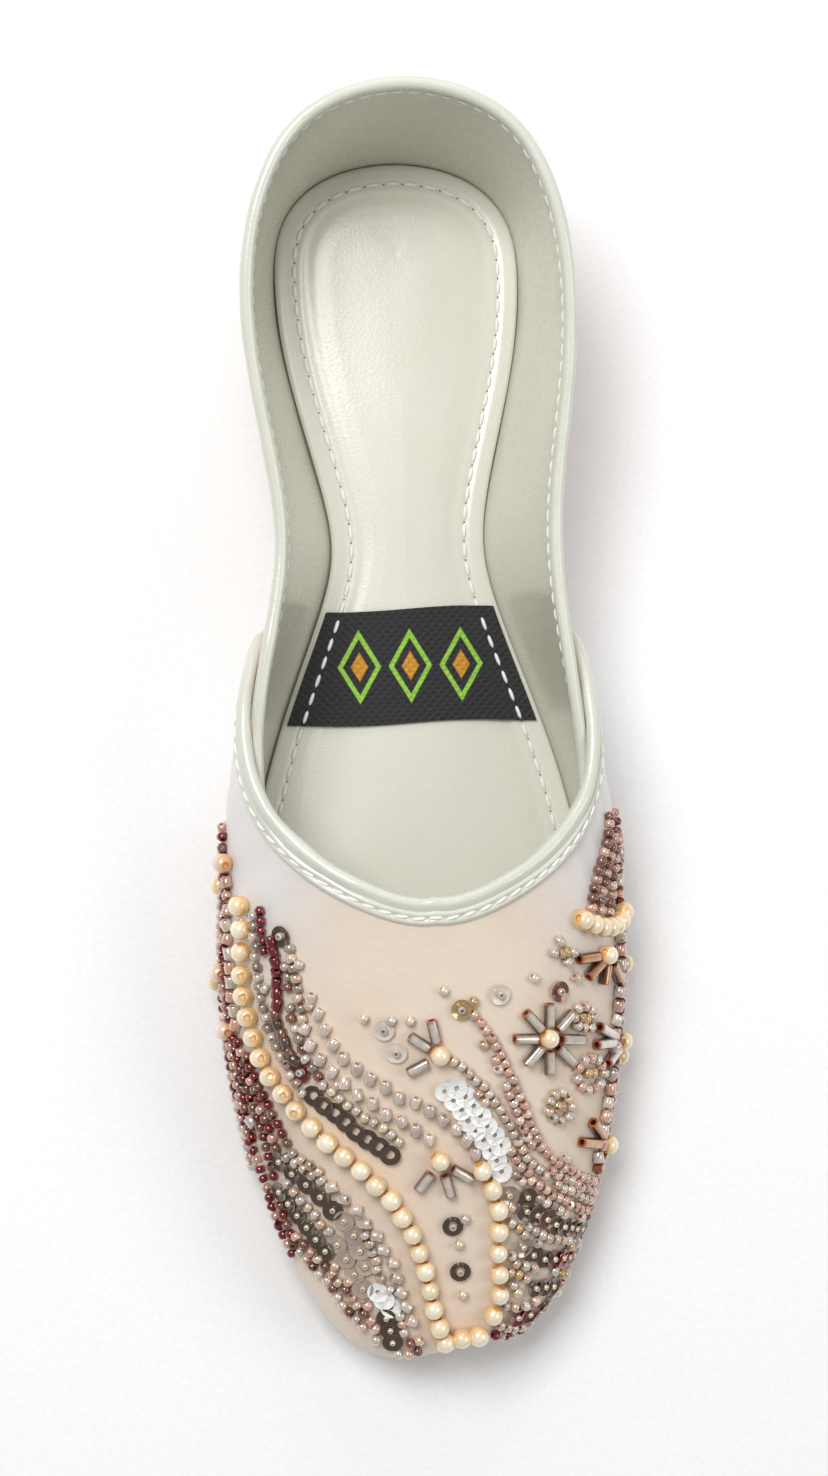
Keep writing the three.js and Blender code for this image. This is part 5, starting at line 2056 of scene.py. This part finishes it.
    def bugle(self, start: Place, end: Place, tone: Tone) -> None:
        """Lay a bugle bead, with painted shade at its foot and a painted highlight on top, its ends tinted.

        Args:
            start: The pixel at one end.
            end: The pixel at the other end.
            tone: Its shade.
        """
        run = self.seen((start, end), Bead.BUGLE)
        ends = run.points[[0, -1]]
        length = np.linalg.norm(ends[1] - ends[0])
        points = self.base(Bead.BUGLE)[0]
        shade = np.array(tone.value)
        # Painted shade at the foot and a painted highlight on top; the rust ends are the bead's own colour.
        body = lerp(0.3 * shade, shade**0.4, smooth(points[:, 2:3], 0.6, 1.1))
        tones = lerp(body, np.array(T.RUST.value), 0.7 * smooth(np.abs(points[:, :1]), 1.6, 2.3))
        size = np.array([[length / BUGLE_LENGTH, 1.0, 1.0]])
        middle = ends.mean(0, keepdims=True)
        self.lay(Bead.BUGLE, middle, ends[1:] - ends[:1], run.normals[:1], tones[None], size)

    def courses(self, kind: Bead) -> None:
        """Lay the strings of one kind that the photograph shows."""
        for course in COURSES:
            if course.kind is kind:
                self.string(course, self.seen(course.way, kind))

    def charted(self) -> None:
        """Lay the single beads, strings, bugles and rosettes that the photograph shows. What is
        laid first keeps its place, so the large beads come before the small."""
        for one in SINGLES:
            self.single(one)
        for kind in (P, R, Q, F):
            self.courses(kind)
        for flower in FLOWERS:
            for turn in flower.turns:
                self.bugle(flower.end(turn, flower.near), flower.end(turn, flower.far), flower.tone)
        for rosette in ROSETTES:
            for course, step in ((rosette.heart(), 1.0), (rosette.ring(), 2.0)):
                self.string(course, self.seen(course.way, S, step))
        for kind in (C, S):
            self.courses(kind)

    def flank(self, side: int) -> None:
        """Carry the beadwork on down a flank that the photograph doesn't show.

        Args:
            side: 1 for the outer side, -1 for the inner.
        """
        def sew(course: Course) -> None:
            """Lay a string on this side."""
            way = np.array(course.way, float)
            mirrored = way * (1, -1) + (0, 2)
            self.string(course, self.hidden(way if side > 0 else mirrored, course.kind))

        rise = FLANK_FLOWER_RISE
        angle = np.linspace(0, 2 * np.pi, 13)
        for u in FLANK_FLOWERS:
            sew(Course(P, (T.IVORY,), 9.0, ((u, rise), (u + 0.01, rise))))
            ring = np.stack((u + 0.2 * np.cos(angle), rise + 0.03 * np.sin(angle)), -1)
            sew(Course(S, (T.CHAMPAGNE, T.ROSE), 2.1, ring))
        for course in FLANK:
            sew(course if side > 0 else course._replace(way=course.way[:-1]))

    def base(self, kind: Bead) -> tuple[Array, Array]:
        """Return the small closed mesh of a bead, its hole along x, or along z if it lies flat."""
        profile = np.array(MAKES[kind].profile)
        points, quads = turned(profile, MAKES[kind].sides)
        if MAKES[kind].flat:
            points = points[:, (1, 2, 0)]
        return points, quads

    def build(self) -> None:
        """Lay every bead and make one piece of each kind."""
        self.charted()
        self.flank(1)
        self.flank(-1)
        glass = self.glass.material()
        foil = self.foil.material()
        finishes = {P: self.mother.material(), Q: foil, R: foil, F: self.frosted.material()}
        for kind, heap in self.heaps.items():
            base = self.base(kind)
            full = [np.repeat(t[:, None], len(base[0]), axis=1) if t.ndim == 2 else t for _, _, t in heap]
            places = np.concatenate([part[0] for part in heap])
            frames = np.concatenate([part[1] for part in heap])
            shape = scatter(base, places, frames, np.concatenate(full))
            self.maker.piece(kind.value, shape, [finishes.get(kind, glass)], MAKES[kind].slot, sharp=50)


def main() -> None:
    """Build the shoe in the order that it is made, then the studio."""
    logging.basicConfig(level=logging.INFO, format="%(message)s")
    last = Last()
    maker = Maker()
    Bottom(last, maker).build()
    upper = Upper(last, maker)
    upper.build()
    Footbed(last, maker).build()
    studio = Studio()
    Beadwork(last, maker, upper, Eye(studio)).build()
    studio.build()


if __name__ == "__main__":
    main()
